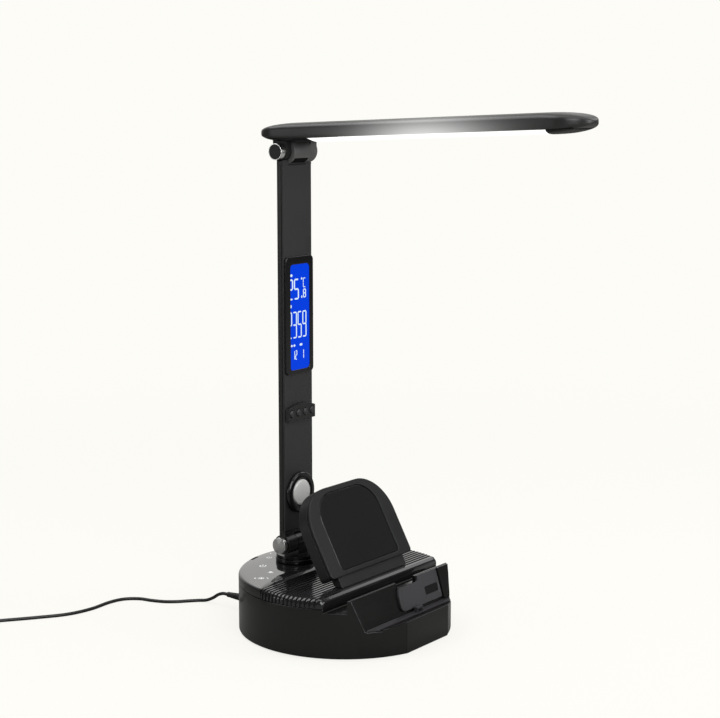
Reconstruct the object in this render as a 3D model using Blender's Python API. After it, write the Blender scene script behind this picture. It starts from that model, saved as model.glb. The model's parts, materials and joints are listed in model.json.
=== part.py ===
"""A desk lamp: a round base with a leaning phone stand, a post with a clock, and a slim head.

Metres, +Z up. The origin is the centre of the base on the surface that it stands on.
The clock faces -Y and the head reaches out over the front, which is -Y too.
"""

import math

import bmesh
import bpy
from mathutils import Vector

for old in list(bpy.data.objects):
    bpy.data.objects.remove(old, do_unlink=True)

# Clearances and fineness
GAP = 0.0003
OVERRUN = 0.002
MERGE = 0.00001
LARGE_STEPS = 80
SMALL_STEPS = 24
CORNER_STEPS = 6

# Base: outer body
BASE_RADIUS = 0.079
BASE_HEIGHT = 0.0436
BASE_WALL = 0.0025
BASE_LIFT = 0.0008
FOOT_BEVEL = 0.0012
DECK_THICKNESS = 0.0068
FLAT_INSET = 0.004
RAIL_DEPTH = 0.009
RAIL_RISE = 0.004
LEDGE_DROP = 0.0236
LEDGE_DEPTH = 0.008
WALL_RUN = 0.0075
WALL_THICKNESS = 0.002
CHANNEL_WIDTH = 0.0145
CHANNEL_DEPTH = 0.0096
CHANNEL_CHAMFER = 0.002
CABLE_NOTCH_LEFT = -0.006
CABLE_NOTCH_RIGHT = 0.018
CABLE_NOTCH_DEPTH = 0.004
CEILING = 0.003

# Base: heights, and places counted back from the front of the round body
SEAM_HEIGHT = BASE_HEIGHT - DECK_THICKNESS
CHANNEL_FLOOR = BASE_HEIGHT - CHANNEL_DEPTH
LEDGE_HEIGHT = BASE_HEIGHT - LEDGE_DROP
RAIL_HEIGHT = LEDGE_HEIGHT + RAIL_RISE
FRONT_FLAT = BASE_RADIUS - FLAT_INSET
LEDGE_FRONT = FRONT_FLAT - RAIL_DEPTH
WALL_FOOT = LEDGE_FRONT - LEDGE_DEPTH
WALL_TOP = WALL_FOOT - WALL_RUN
CHANNEL_FRONT = WALL_TOP - WALL_THICKNESS
CHANNEL_BACK = CHANNEL_FRONT - CHANNEL_WIDTH

# Swivel: its place between the foot of the stand and the rear edge
STAND_SETBACK = 0.0030
STAND_FOOT = CHANNEL_BACK - STAND_SETBACK
POST_SHARE = 0.7045455
POST_Y = POST_SHARE * BASE_RADIUS - (1 - POST_SHARE) * STAND_FOOT

# Base: top deck
SPLIT_SETBACK = 0.0283
DECK_SPLIT = POST_Y - SPLIT_SETBACK
DECK_ROUND = 0.004
PANEL_ROUND = 0.002
PANEL_WALL = 0.0022
RIB_PITCH = 0.0034
RIB_SLOT = 0.0016
RIB_DEPTH = 0.0009

# Base: underside
COVER_THICKNESS = 0.002
COVER_LIFT = 0.0016
PAD_INSET = 0.0085
PAD_THICKNESS = 0.0013
BOSS_RADIUS = 0.004
BOSS_INSET = 0.019
BOSS_ANGLES = (40, 140, 215, 325)
SCREW_RADIUS = 0.0014
SCREW_HEAD_RADIUS = 0.0028
SCREW_HEAD_HEIGHT = 0.0012
SCREW_LENGTH = 0.009
BORE_CLEARANCE = 0.0002

# Base: weight and main board
WEIGHT_SIDE_INSET = 0.037
WEIGHT_END_INSET = 0.049
WEIGHT_SETBACK = 0.004
WEIGHT_THICKNESS = 0.007
BOARD_WIDTH = 0.056
BOARD_DEPTH = 0.036
BOARD_THICKNESS = 0.0016

# Base: earbud seat on the sloping front wall
SEAT_LEFT = -0.0087
SEAT_RIGHT = 0.0426
SEAT_RISE = 0.0034
SEAT_MARGIN = 0.0002
SEAT_THICKNESS = 0.0016
SEAT_LOW_CORNER = 0.0045
SEAT_HIGH_CORNER = 0.010
SEAT_NOTCH_CORNER = 0.002
PORT_LEFT = 0.0236
PORT_RIGHT = 0.0400
PORT_LOW = 0.0086
PORT_HIGH = 0.0148
PORT_DEPTH = 0.0009
STOP_GAP = 0.0006
STOP_RISE = 0.0019
STOP_THICKNESS = 0.0029
STRIP_THICKNESS = 0.0011
STRIP_DEPTH = 0.0057
STRIP_INSET = 0.0006
CONTACT_CENTRE = 0.0079
CONTACT_WIDTH = 0.0074
CONTACT_DEPTH = 0.003
CONTACT_HEIGHT = 0.0048
CONTACT_MOUTH = 0.0044
CONTACT_MOUTH_DEPTH = 0.002

# Base: rear sockets
JACK_X = -0.014
JACK_Z = 0.0098
JACK_RADIUS = 0.0052
JACK_BORE = 0.0032
JACK_LENGTH = 0.012
JACK_PROUD = 0.0004
USB_X = -0.0125
USB_DROP = 0.0082
USB_Z = SEAM_HEIGHT - USB_DROP
USB_WIDTH = 0.0155
USB_HEIGHT = 0.0095
USB_DEPTH = 0.014
USB_PROUD = 0.0026
USB_MOUTH_WIDTH = 0.0125
USB_MOUTH_HEIGHT = 0.0052

# Phone stand
STAND_LEAN = math.radians(28.7)
STAND_HALF = 0.0495
STAND_TOP = 0.0745
STAND_BORDER_LOW = 0.0096
STAND_CORNER = 0.030
STAND_LOW_CORNER = 0.003
STAND_THICKNESS = 0.0112
STAND_FRAME_THICKNESS = 0.0024
STAND_WALL = 0.002
NECK_HALF = 0.040
PLATE_HALF = 0.0350
PLATE_LOW = 0.0135
PLATE_HIGH = 0.0700
PLATE_CORNER = 0.020
PLATE_THICKNESS = 0.0018
COIL_OUTER = 0.022
COIL_INNER = 0.010
COIL_THICKNESS = 0.0012
COIL_CENTRE = 0.042
SHIELD_HALF = 0.025
SHIELD_THICKNESS = 0.0008

# Swivel under the post
SWIVEL_RADIUS = 0.0153
SWIVEL_RING_HEIGHT = 0.0032
TURNTABLE_LIFT = 0.0004
TURNTABLE_RADIUS = 0.0148
TURNTABLE_HEIGHT = 0.0021
SPINDLE_RADIUS = 0.006
SPINDLE_BORE = 0.003
SPINDLE_REACH = 0.0135
NUT_RADIUS = 0.010
NUT_HEIGHT = 0.003

# Lower hinge
LOWER_AXIS_RISE = 0.0153
LOWER_AXIS_Z = BASE_HEIGHT + LOWER_AXIS_RISE
LOWER_RADIUS = 0.0074
KNUCKLE_HALF = 0.0056
EAR_GAP = 0.0004
LOWER_PIN_RADIUS = 0.0024
LOWER_CAP_RADIUS = 0.0062
LOWER_CAP_THICKNESS = 0.0036
CAP_EDGE = 0.0006

# Post, with heights counted from the lower hinge
POST_LENGTH = 0.2935
POST_HALF = 0.0166
POST_FRONT = 0.0033
POST_BACK = 0.0040
POST_CORNER = 0.003
POST_WALL = 0.0016
FRONT_THICKNESS = 0.0018
FRONT_LOW = 0.0101
FRONT_TOP_GAP = 0.0099
FRONT_HIGH = POST_LENGTH - FRONT_TOP_GAP

# Upper hinge
UPPER_AXIS_Z = LOWER_AXIS_Z + POST_LENGTH
BARREL_RADIUS = 0.0090
BARREL_HALF = 0.0097
FORK_INNER = 0.0101
FORK_LEFT = 0.0163
FORK_RIGHT = 0.0176
FORK_RADIUS = 0.0086
DISC_RADIUS = 0.0088
UPPER_PIN_RADIUS = 0.0024
KNOB_RADIUS = 0.0060
KNOB_THICKNESS = 0.0050
CAP_THICKNESS = 0.0030
KNOB_FACE_RADIUS = 0.0054
KNOB_FACE_DEPTH = 0.0012
KNOB_FACE_PROUD = 0.0004
KNOB_TEETH = 24
KNOB_TOOTH = 0.0003
SENSOR_HALF = 0.0080
SENSOR_DROP = 0.0083
SENSOR_HEIGHT = 0.0033
SENSOR_DEPTH = 0.0045

# Clock
LENS_HALF = 0.0162
LENS_LOW = 0.1291
LENS_HIGH = 0.2166
LENS_CORNER = 0.0030
LENS_THICKNESS = 0.0016
MODULE_HALF = 0.0128
MODULE_MARGIN = 0.0030
MODULE_THICKNESS = 0.0022
CLOCK_BOARD_HALF = 0.0115
CLOCK_BOARD_LOW = 0.0911
CLOCK_BOARD_THICKNESS = 0.0010

# Clock buttons
KEYPAD_HALF = 0.0160
KEYPAD_LOW = 0.0941
KEYPAD_HIGH = 0.1066
KEYPAD_ARCH = 0.0030
KEYPAD_THICKNESS = 0.0030
BUTTON_COUNT = 4
BUTTON_PITCH = 0.0080
BUTTON_Z = 0.0999
BUTTON_RADIUS = 0.0026
BUTTON_CLEARANCE = 0.0003
BUTTON_PROUD = 0.0010
BUTTON_TRAVEL = 0.0007

# Watch charger on the post
WATCH_Z = 0.0384
WATCH_RING_RADIUS = 0.0156
WATCH_BOWL_RADIUS = 0.0106
WATCH_RING_HEIGHT = 0.0030
PUCK_RADIUS = 0.0098
PUCK_HEIGHT = 0.0034

# Head, drawn level about its hinge and then tilted
HEAD_TILT = math.radians(2.6)
HEAD_HALF = 0.0200
HEAD_MIDDLE = 0.0134
HEAD_HALF_HEIGHT = 0.0070
HEAD_BACK_CENTRE = 0.0040
HEAD_FRONT_CENTRE = 0.2300
HEAD_END = 0.0200
HEAD_TAPER = 0.0340
HEAD_SQUARENESS = 4.0
HEAD_SPLIT = 0.0090
HEAD_WALL = 0.0018
RING_POINTS = 28
END_RINGS = 9
TAPER_RINGS = 3
BRACKET_REACH = 0.0266
BRACKET_SLANT = 0.0070
DIFFUSER_END = 0.2240
DIFFUSER_HALF = 0.0184
DIFFUSER_LOW = 0.0064
DIFFUSER_CORNER = 0.0012
DIFFUSER_EDGE = 0.00025
GUIDE_HALF = 0.0150
GUIDE_THICKNESS = 0.0022
GUIDE_MARGIN = 0.006
LED_THICKNESS = 0.0012
REFLECTOR_THICKNESS = 0.0005

# Power lead
CORD_DIAMETER = 0.0026
PLUG_RADIUS = 0.0042
PLUG_LENGTH = 0.0090
PLUG_TIP_RADIUS = 0.0027
PLUG_TIP_LENGTH = 0.0080
RELIEF_RADIUS = 0.0030
RELIEF_END_RADIUS = 0.0020
RELIEF_LENGTH = 0.0140
COIL_RADIUS = 0.0155
COIL_LAYERS = 2
LOOPS_PER_LAYER = 5
LOOP_POINTS = 24
LOOP_SPACING = 0.00315
LAYER_SPACING = 0.00315
COIL_TAIL = 0.0210
COIL_X = -0.2000
COIL_Y = 0.2140
USB_BODY_LENGTH = 0.022
USB_BODY_WIDTH = 0.015
USB_BODY_HEIGHT = 0.0078
USB_BODY_CORNER = 0.0015
USB_SHELL_LENGTH = 0.0115
USB_SHELL_WIDTH = 0.0120
USB_SHELL_HEIGHT = 0.0045
USB_SHELL_WALL = 0.0005


def material(name, colour, roughness, metallic=0.0):
    """One Principled material, named after the piece that wears it."""
    new = bpy.data.materials.new(name)
    new.use_nodes = True
    shader = new.node_tree.nodes["Principled BSDF"]
    shader.inputs["Base Color"].default_value = (*colour, 1.0)
    shader.inputs["Roughness"].default_value = roughness
    shader.inputs["Metallic"].default_value = metallic
    return new


def add_object(name, bm, look=None, parent=None):
    """A mesh object from a closed bmesh, with its faces turned outwards."""
    bmesh.ops.remove_doubles(bm, verts=bm.verts, dist=MERGE)
    bmesh.ops.recalc_face_normals(bm, faces=bm.faces)
    mesh = bpy.data.meshes.new(name)
    bm.to_mesh(mesh)
    bm.free()
    obj = bpy.data.objects.new(name, mesh)
    bpy.context.collection.objects.link(obj)
    if look is None:
        obj.hide_render = True
        obj.display_type = "WIRE"
    else:
        mesh.materials.append(material(name, *look))
        mesh.shade_smooth()
        mesh.set_sharp_from_angle(angle=math.radians(35))
    obj.parent = parent
    return obj


def boolean(obj, other, operation):
    modifier = obj.modifiers.new(f"{operation.lower()} {other.name}", "BOOLEAN")
    modifier.operation = operation
    modifier.object = other
    modifier.solver = "EXACT"


def cut(obj, *cutters):
    for cutter in cutters:
        boolean(obj, cutter, "DIFFERENCE")
    return obj


def keep(obj, *guides):
    for guide in guides:
        boolean(obj, guide, "INTERSECT")
    return obj


def join(obj, *others):
    for other in others:
        boolean(obj, other, "UNION")
    return obj


def stacked(bm, rings, close_low, close_high):
    """Skin a stack of rings of vertices, and cap either end."""
    for low, high in zip(rings, rings[1:]):
        for i in range(len(low)):
            j = (i + 1) % len(low)
            bm.faces.new((low[i], low[j], high[j], high[i]))
    if close_low:
        bm.faces.new(list(reversed(rings[0])))
    if close_high:
        bm.faces.new(rings[-1])


AXIS_ORDER = {"X": (2, 0, 1), "Y": (0, 2, 1), "Z": (0, 1, 2)}


def along(axis, a, b, c):
    """The point with outline coordinates a, b and height c along the axis."""
    if axis == "X":
        return Vector((c, a, b))
    if axis == "Y":
        return Vector((a, c, b))
    return Vector((a, b, c))


def prism(name, outline, axis, low, high, look=None, parent=None):
    """An outline in the two other axes, in X, Y, Z order, drawn out from low to high."""
    bm = bmesh.new()
    rings = [[bm.verts.new(along(axis, a, b, c)) for a, b in outline] for c in (low, high)]
    stacked(bm, rings, True, True)
    return add_object(name, bm, look, parent)


def turned(name, profile, centre, axis="Z", steps=LARGE_STEPS, look=None, parent=None):
    """A profile of (radius, height) points, turned about an axis through the centre."""
    bm = bmesh.new()
    rings = []
    for radius, height in profile:
        ring = []
        for i in range(steps):
            angle = 2 * math.pi * i / steps
            a, b = radius * math.cos(angle), radius * math.sin(angle)
            ring.append(bm.verts.new(Vector(centre) + along(axis, a, b, height)))
        rings.append(ring)
    stacked(bm, rings, True, True)
    return add_object(name, bm, look, parent)


def washer(name, inner, outer, low, high, centre, axis="Z", steps=LARGE_STEPS, look=None, parent=None):
    """A flat ring with a bore."""
    bm = bmesh.new()
    rings = []
    for radius, height in ((inner, low), (outer, low), (outer, high), (inner, high)):
        ring = []
        for i in range(steps):
            angle = 2 * math.pi * i / steps
            a, b = radius * math.cos(angle), radius * math.sin(angle)
            ring.append(bm.verts.new(Vector(centre) + along(axis, a, b, height)))
        rings.append(ring)
    stacked(bm, rings + [rings[0]], False, False)
    return add_object(name, bm, look, parent)


def cylinder(name, radius, low, high, centre, axis="Z", steps=SMALL_STEPS, look=None, parent=None):
    return turned(name, [(radius, low), (radius, high)], centre, axis, steps, look, parent)


def box(name, low, high, look=None, parent=None):
    outline = [(low[0], low[1]), (high[0], low[1]), (high[0], high[1]), (low[0], high[1])]
    return prism(name, outline, "Z", low[2], high[2], look, parent)


def arc(centre, radius, start, end, steps=CORNER_STEPS):
    """Points on an arc in degrees, both ends included."""
    turns = [math.radians(start + (end - start) * i / steps) for i in range(steps + 1)]
    return [(centre[0] + radius * math.cos(t), centre[1] + radius * math.sin(t)) for t in turns]


def rounded(left, right, low, high, low_corner, high_corner, steps=CORNER_STEPS):
    """A rectangle with one radius on its lower corners and one on its upper corners."""
    points = arc((left + low_corner, low + low_corner), low_corner, 180, 270, steps)
    points += arc((right - low_corner, low + low_corner), low_corner, 270, 360, steps)
    points += arc((right - high_corner, high - high_corner), high_corner, 0, 90, steps)
    return points + arc((left + high_corner, high - high_corner), high_corner, 90, 180, steps)


def rounded_cap(radius, edge, low, high, steps=4):
    """A turned profile whose upper edge is rounded."""
    shoulder = arc((radius - edge, high - edge), edge, 0, 90, steps)
    return [(radius, low)] + shoulder


def empty(name, location, tilt=0.0):
    obj = bpy.data.objects.new(name, None)
    bpy.context.collection.objects.link(obj)
    obj.location = location
    obj.rotation_euler = (tilt, 0, 0)
    return obj


BLACK = ((0.020, 0.020, 0.021), 0.38)
GLOSS = ((0.012, 0.012, 0.013), 0.08)
SATIN = ((0.030, 0.030, 0.032), 0.45)
GREY = ((0.085, 0.083, 0.090), 0.42)
RUBBER = ((0.015, 0.015, 0.015), 0.85)
STEEL = ((0.55, 0.55, 0.56), 0.35, 1.0)
CHROME = ((0.75, 0.75, 0.76), 0.12, 1.0)
SILVER = ((0.60, 0.60, 0.61), 0.30, 0.9)
COPPER = ((0.70, 0.33, 0.18), 0.40, 1.0)
BOARD = ((0.02, 0.16, 0.07), 0.50)
WHITE = ((0.90, 0.90, 0.88), 0.35)
BLUE = ((0.0, 0.05, 0.80), 0.30)


# Base shell
def base_profile(inset, floor):
    """The base seen from its side, as (y, z): flat top, channel, sloping wall, ledge and rail."""
    return [
        (BASE_RADIUS - inset + OVERRUN, floor),
        (BASE_RADIUS - inset + OVERRUN, SEAM_HEIGHT - inset),
        (-CHANNEL_BACK + inset, SEAM_HEIGHT - inset),
        (-CHANNEL_BACK + inset, CHANNEL_FLOOR - inset),
    ]


FRONT_PROFILE = [
    (-CHANNEL_FRONT, CHANNEL_FLOOR),
    (-CHANNEL_FRONT, BASE_HEIGHT),
    (-WALL_TOP, BASE_HEIGHT),
    (-WALL_FOOT, LEDGE_HEIGHT),
    (-LEDGE_FRONT, LEDGE_HEIGHT),
    (-LEDGE_FRONT, LEDGE_HEIGHT + STRIP_THICKNESS),
    (-FRONT_FLAT, RAIL_HEIGHT),
    (-FRONT_FLAT, BASE_LIFT),
]

INNER_PROFILE = [
    (-CHANNEL_FRONT, CHANNEL_FLOOR - CEILING),
    (-WALL_TOP, LEDGE_HEIGHT - BASE_WALL),
    (BASE_WALL - FRONT_FLAT, LEDGE_HEIGHT - BASE_WALL),
    (BASE_WALL - FRONT_FLAT, -OVERRUN),
]


def make_base_shell():
    shell = prism(
        "base_shell",
        base_profile(0.0, BASE_LIFT) + FRONT_PROFILE,
        "X",
        -BASE_RADIUS - OVERRUN,
        BASE_RADIUS + OVERRUN,
        BLACK,
    )
    round_profile = [(BASE_RADIUS - FOOT_BEVEL, BASE_LIFT), (BASE_RADIUS, BASE_LIFT + FOOT_BEVEL)]
    round_profile += [(BASE_RADIUS, BASE_HEIGHT + OVERRUN)]
    keep(shell, turned("base_round", round_profile, (0, 0, 0)))

    hollow = prism(
        "base_hollow",
        base_profile(CEILING, -OVERRUN) + INNER_PROFILE,
        "X",
        -BASE_RADIUS,
        BASE_RADIUS,
    )
    inner_radius = BASE_RADIUS - BASE_WALL
    keep(hollow, cylinder("hollow_round", inner_radius, -BASE_HEIGHT, BASE_HEIGHT, (0, 0, 0), steps=LARGE_STEPS))
    cut(shell, hollow)

    notch = box(
        "cable_notch",
        (CABLE_NOTCH_LEFT, -WALL_FOOT, BASE_HEIGHT - CABLE_NOTCH_DEPTH),
        (CABLE_NOTCH_RIGHT, -CHANNEL_FRONT + OVERRUN, BASE_HEIGHT + OVERRUN),
    )
    spindle_hole = cylinder(
        "spindle_hole", SPINDLE_RADIUS + GAP, CHANNEL_FLOOR - CEILING, BASE_HEIGHT, (0, POST_Y, 0)
    )
    jack_hole = cylinder(
        "jack_hole", JACK_RADIUS + GAP, 0, BASE_RADIUS, (JACK_X, rear_at(JACK_X) / 2, JACK_Z), "Y"
    )
    port_hole = box(
        "port_hole",
        (USB_X - USB_WIDTH / 2 - GAP, rear_at(USB_X) / 2, USB_Z - USB_HEIGHT / 2 - GAP),
        (USB_X + USB_WIDTH / 2 + GAP, BASE_RADIUS + OVERRUN, USB_Z + USB_HEIGHT / 2 + GAP),
    )
    cut(shell, notch, spindle_hole, jack_hole, port_hole)

    for number, angle in enumerate(BOSS_ANGLES, 1):
        x, y = polar(BASE_RADIUS - BOSS_INSET, angle)
        low = COVER_LIFT + COVER_THICKNESS + GAP
        ceiling = boss_ceiling(y)
        boss = cylinder(f"boss_{number}", BOSS_RADIUS, low, ceiling, (x, y, 0))
        bore = cylinder(
            f"boss_bore_{number}",
            SCREW_RADIUS + BORE_CLEARANCE,
            0,
            COVER_LIFT + SCREW_LENGTH + OVERRUN,
            (x, y, 0),
            steps=SMALL_STEPS // 2,
        )
        join(shell, boss)
        cut(shell, bore)
    return shell


def polar(radius, degrees):
    return radius * math.cos(math.radians(degrees)), radius * math.sin(math.radians(degrees))


def rear_at(x):
    """How far back the round wall is at x."""
    return math.sqrt(BASE_RADIUS**2 - x**2)


def boss_ceiling(y):
    """A boss ends inside the ceiling above it."""
    if y > -CHANNEL_BACK + CEILING:
        return SEAM_HEIGHT - CEILING / 2
    return CHANNEL_FLOOR - CEILING / 2


# Top deck
def deck_disc(name, edge, look=None):
    low = SEAM_HEIGHT + GAP
    return turned(name, rounded_cap(BASE_RADIUS, edge, low, BASE_HEIGHT), (0, 0, 0), look=look)


def rib_slots():
    """One cutter for each slot: it runs across the deck and down both rounded sides."""
    slots = []
    count = int((DECK_SPLIT + CHANNEL_BACK - RIB_SLOT) / RIB_PITCH)
    for i in range(count):
        y = DECK_SPLIT - GAP - RIB_SLOT - i * RIB_PITCH
        side = math.sqrt(BASE_RADIUS**2 - y**2) - RIB_DEPTH
        top = BASE_HEIGHT - RIB_DEPTH
        reach = BASE_RADIUS + OVERRUN
        outline = [
            (-reach, SEAM_HEIGHT),
            (-side, SEAM_HEIGHT),
            (-side, top - DECK_ROUND / 2),
            (-side + DECK_ROUND / 2, top),
            (side - DECK_ROUND / 2, top),
            (side, top - DECK_ROUND / 2),
            (side, SEAM_HEIGHT),
            (reach, SEAM_HEIGHT),
            (reach, BASE_HEIGHT + OVERRUN),
            (-reach, BASE_HEIGHT + OVERRUN),
        ]
        slots.append(prism(f"rib_slot_{i + 1}", outline, "Y", y - RIB_SLOT, y))
    return slots


def make_rib_deck():
    deck = deck_disc("rib_deck", DECK_ROUND, GLOSS)
    low = SEAM_HEIGHT
    outline = [
        (DECK_SPLIT - GAP, low - OVERRUN),
        (DECK_SPLIT - GAP, BASE_HEIGHT + OVERRUN),
        (CHANNEL_CHAMFER + OVERRUN - CHANNEL_BACK, BASE_HEIGHT + OVERRUN),
        (-CHANNEL_BACK, BASE_HEIGHT - CHANNEL_CHAMFER),
        (-CHANNEL_BACK, low - OVERRUN),
    ]
    reach = BASE_RADIUS + OVERRUN
    keep(deck, prism("deck_span", outline, "X", -reach, reach))
    cut(deck, *rib_slots())
    return deck


def make_touch_panel():
    panel = deck_disc("touch_panel", PANEL_ROUND, GLOSS)
    reach = BASE_RADIUS + OVERRUN
    keep(panel, box("panel_span", (-reach, DECK_SPLIT, 0), (reach, reach, BASE_HEIGHT + OVERRUN)))
    hollow_radius = BASE_RADIUS - PANEL_WALL
    top = BASE_HEIGHT - PANEL_WALL
    hollow = cylinder("panel_hollow", hollow_radius, 0, top, (0, 0, 0), steps=LARGE_STEPS)
    keep(hollow, box("hollow_span", (-reach, DECK_SPLIT + PANEL_WALL, 0), (reach, reach, BASE_HEIGHT)))
    cut(hollow, cylinder("spindle_boss", SPINDLE_RADIUS + GAP + PANEL_WALL, 0, BASE_HEIGHT, (0, POST_Y, 0)))
    spindle = cylinder("panel_bore", SPINDLE_RADIUS + GAP, 0, BASE_HEIGHT + OVERRUN, (0, POST_Y, 0))
    cut(panel, hollow, spindle)
    return panel


# Underside
def make_underside():
    radius = BASE_RADIUS - BASE_WALL - GAP
    top = COVER_LIFT + COVER_THICKNESS
    cover = turned("bottom_cover", [(radius, COVER_LIFT), (radius, top)], (0, 0, 0), look=SATIN)
    reach = BASE_RADIUS + OVERRUN
    flat = BASE_WALL + GAP - FRONT_FLAT
    keep(cover, box("cover_span", (-reach, flat, -OVERRUN), (reach, reach, BASE_HEIGHT)))
    pad = cylinder("grip_pad", BASE_RADIUS - PAD_INSET, 0.0, PAD_THICKNESS, (0, 0, 0), steps=LARGE_STEPS, look=RUBBER)
    for number, angle in enumerate(BOSS_ANGLES, 1):
        x, y = polar(BASE_RADIUS - BOSS_INSET, angle)
        bore = SCREW_RADIUS + BORE_CLEARANCE
        hole = cylinder(f"cover_hole_{number}", bore, 0, BASE_HEIGHT, (x, y, 0), steps=SMALL_STEPS // 2)
        cut(cover, hole)
        bore = SCREW_HEAD_RADIUS + 2 * BORE_CLEARANCE
        cut(pad, cylinder(f"pad_hole_{number}", bore, -OVERRUN, COVER_LIFT, (x, y, 0), steps=SMALL_STEPS // 2))
        head = COVER_LIFT - GAP
        profile = [
            (SCREW_HEAD_RADIUS, head - SCREW_HEAD_HEIGHT),
            (SCREW_HEAD_RADIUS, head),
            (SCREW_RADIUS, head),
            (SCREW_RADIUS, head + SCREW_LENGTH),
        ]
        turned(f"cover_screw_{number}", profile, (x, y, 0), steps=SMALL_STEPS // 2, look=STEEL)


def make_weight_and_board():
    low = COVER_LIFT + COVER_THICKNESS + GAP
    half = BASE_RADIUS - WEIGHT_SIDE_INSET
    deep = BASE_RADIUS - WEIGHT_END_INSET
    high = low + WEIGHT_THICKNESS
    centre = WEIGHT_SETBACK
    box("weight_plate", (-half, centre - deep, low), (half, centre + deep, high), STEEL)
    low = high + GAP
    box(
        "main_board",
        (-BOARD_WIDTH / 2, centre - BOARD_DEPTH / 2, low),
        (BOARD_WIDTH / 2, centre + BOARD_DEPTH / 2, low + BOARD_THICKNESS),
        BOARD,
    )


# Earbud seat on the sloping wall
def make_earbud_seat():
    run = WALL_FOOT - WALL_TOP
    rise = BASE_HEIGHT - LEDGE_HEIGHT
    slope = empty("wall_slope", (0, -WALL_FOOT, LEDGE_HEIGHT), -math.atan2(run, rise))
    high = math.hypot(run, rise) - SEAT_MARGIN
    low_corner, high_corner = SEAT_LOW_CORNER, SEAT_HIGH_CORNER
    outline = arc((SEAT_LEFT + low_corner, SEAT_RISE + low_corner), low_corner, 180, 270)
    outline += [(SEAT_RIGHT, SEAT_RISE), (SEAT_RIGHT, high)]
    outline += arc((SEAT_LEFT + high_corner, high - high_corner), high_corner, 90, 180)
    front = -GAP - SEAT_THICKNESS
    seat = prism("earbud_seat", outline, "Y", front, -GAP, GREY, slope)
    corner = SEAT_NOTCH_CORNER
    notch_low = high - CABLE_NOTCH_DEPTH
    notch = rounded(CABLE_NOTCH_LEFT, CABLE_NOTCH_RIGHT, notch_low, high + high_corner, corner, corner)
    pocket = rounded(PORT_LEFT, PORT_RIGHT, PORT_LOW, PORT_HIGH, PORT_DEPTH, PORT_DEPTH)
    cut(
        seat,
        prism("seat_notch", notch, "Y", front - OVERRUN, OVERRUN, parent=slope),
        prism("seat_port", pocket, "Y", front - OVERRUN, front + PORT_DEPTH, parent=slope),
    )
    left = SEAT_RIGHT + STOP_GAP
    block = [(left, STOP_RISE), (BASE_RADIUS, STOP_RISE), (BASE_RADIUS, high), (left, high)]
    stop = prism("seat_stop", block, "Y", -GAP - STOP_THICKNESS, -GAP, BLACK, slope)
    inset = BASE_RADIUS - STRIP_INSET
    keep(stop, cylinder("stop_round", inset, 0, BASE_HEIGHT + OVERRUN, (0, 0, 0), steps=LARGE_STEPS))

    low = LEDGE_HEIGHT + GAP
    back = -WALL_FOOT - GAP
    top = low + STRIP_THICKNESS
    strip = box("ledge_strip", (-BASE_RADIUS, back - STRIP_DEPTH, low), (BASE_RADIUS, back, top), GREY)
    keep(strip, cylinder("strip_round", inset, 0, BASE_HEIGHT, (0, 0, 0), steps=LARGE_STEPS))
    half = CONTACT_WIDTH / 2
    left, right = CONTACT_CENTRE - half, CONTACT_CENTRE + half
    back -= SEAT_THICKNESS
    front = back - CONTACT_DEPTH
    contact = box("earbud_contact", (left, front, low), (right, back, low + CONTACT_HEIGHT), GREY)
    half = CONTACT_MOUTH / 2
    mouth = box(
        "contact_mouth",
        (CONTACT_CENTRE - half, front - OVERRUN, top),
        (CONTACT_CENTRE + half, back + OVERRUN, top + CONTACT_MOUTH_DEPTH),
    )
    cut(contact, mouth)
    cut(strip, box("strip_pocket", (left - GAP, front - GAP, 0), (right + GAP, back + GAP, BASE_HEIGHT)))


# Rear sockets
def make_sockets():
    front = BASE_RADIUS + JACK_PROUD
    profile = rounded_cap(JACK_RADIUS, CAP_EDGE, front - JACK_LENGTH, front, 2)
    jack = turned("power_jack", profile, (JACK_X, 0, JACK_Z), "Y", SMALL_STEPS, BLACK)
    depth = front - JACK_LENGTH + BASE_WALL
    cut(jack, cylinder("jack_bore", JACK_BORE, depth, front + OVERRUN, (JACK_X, 0, JACK_Z), "Y"))

    front = rear_at(USB_X) - USB_DEPTH
    outer = BASE_RADIUS + USB_PROUD
    half, tall = USB_WIDTH / 2, USB_HEIGHT / 2
    port = box("usb_port", (USB_X - half, front, USB_Z - tall), (USB_X + half, outer, USB_Z + tall), BLACK)
    keep(port, cylinder("port_round", outer, 0, BASE_HEIGHT, (0, 0, 0), steps=LARGE_STEPS))
    half, tall = USB_MOUTH_WIDTH / 2, USB_MOUTH_HEIGHT / 2
    mouth = box(
        "usb_mouth",
        (USB_X - half, front + BASE_WALL, USB_Z - tall),
        (USB_X + half, outer + OVERRUN, USB_Z + tall),
    )
    cut(port, mouth)


# Phone stand, drawn upright and leaned back about the foot of its front face
def stand_outline(margin, low_corner=STAND_LOW_CORNER):
    return rounded(
        margin - STAND_HALF,
        STAND_HALF - margin,
        STAND_BORDER_LOW + margin,
        STAND_TOP - margin,
        low_corner,
        STAND_CORNER - margin,
        CORNER_STEPS * 2,
    )


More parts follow.
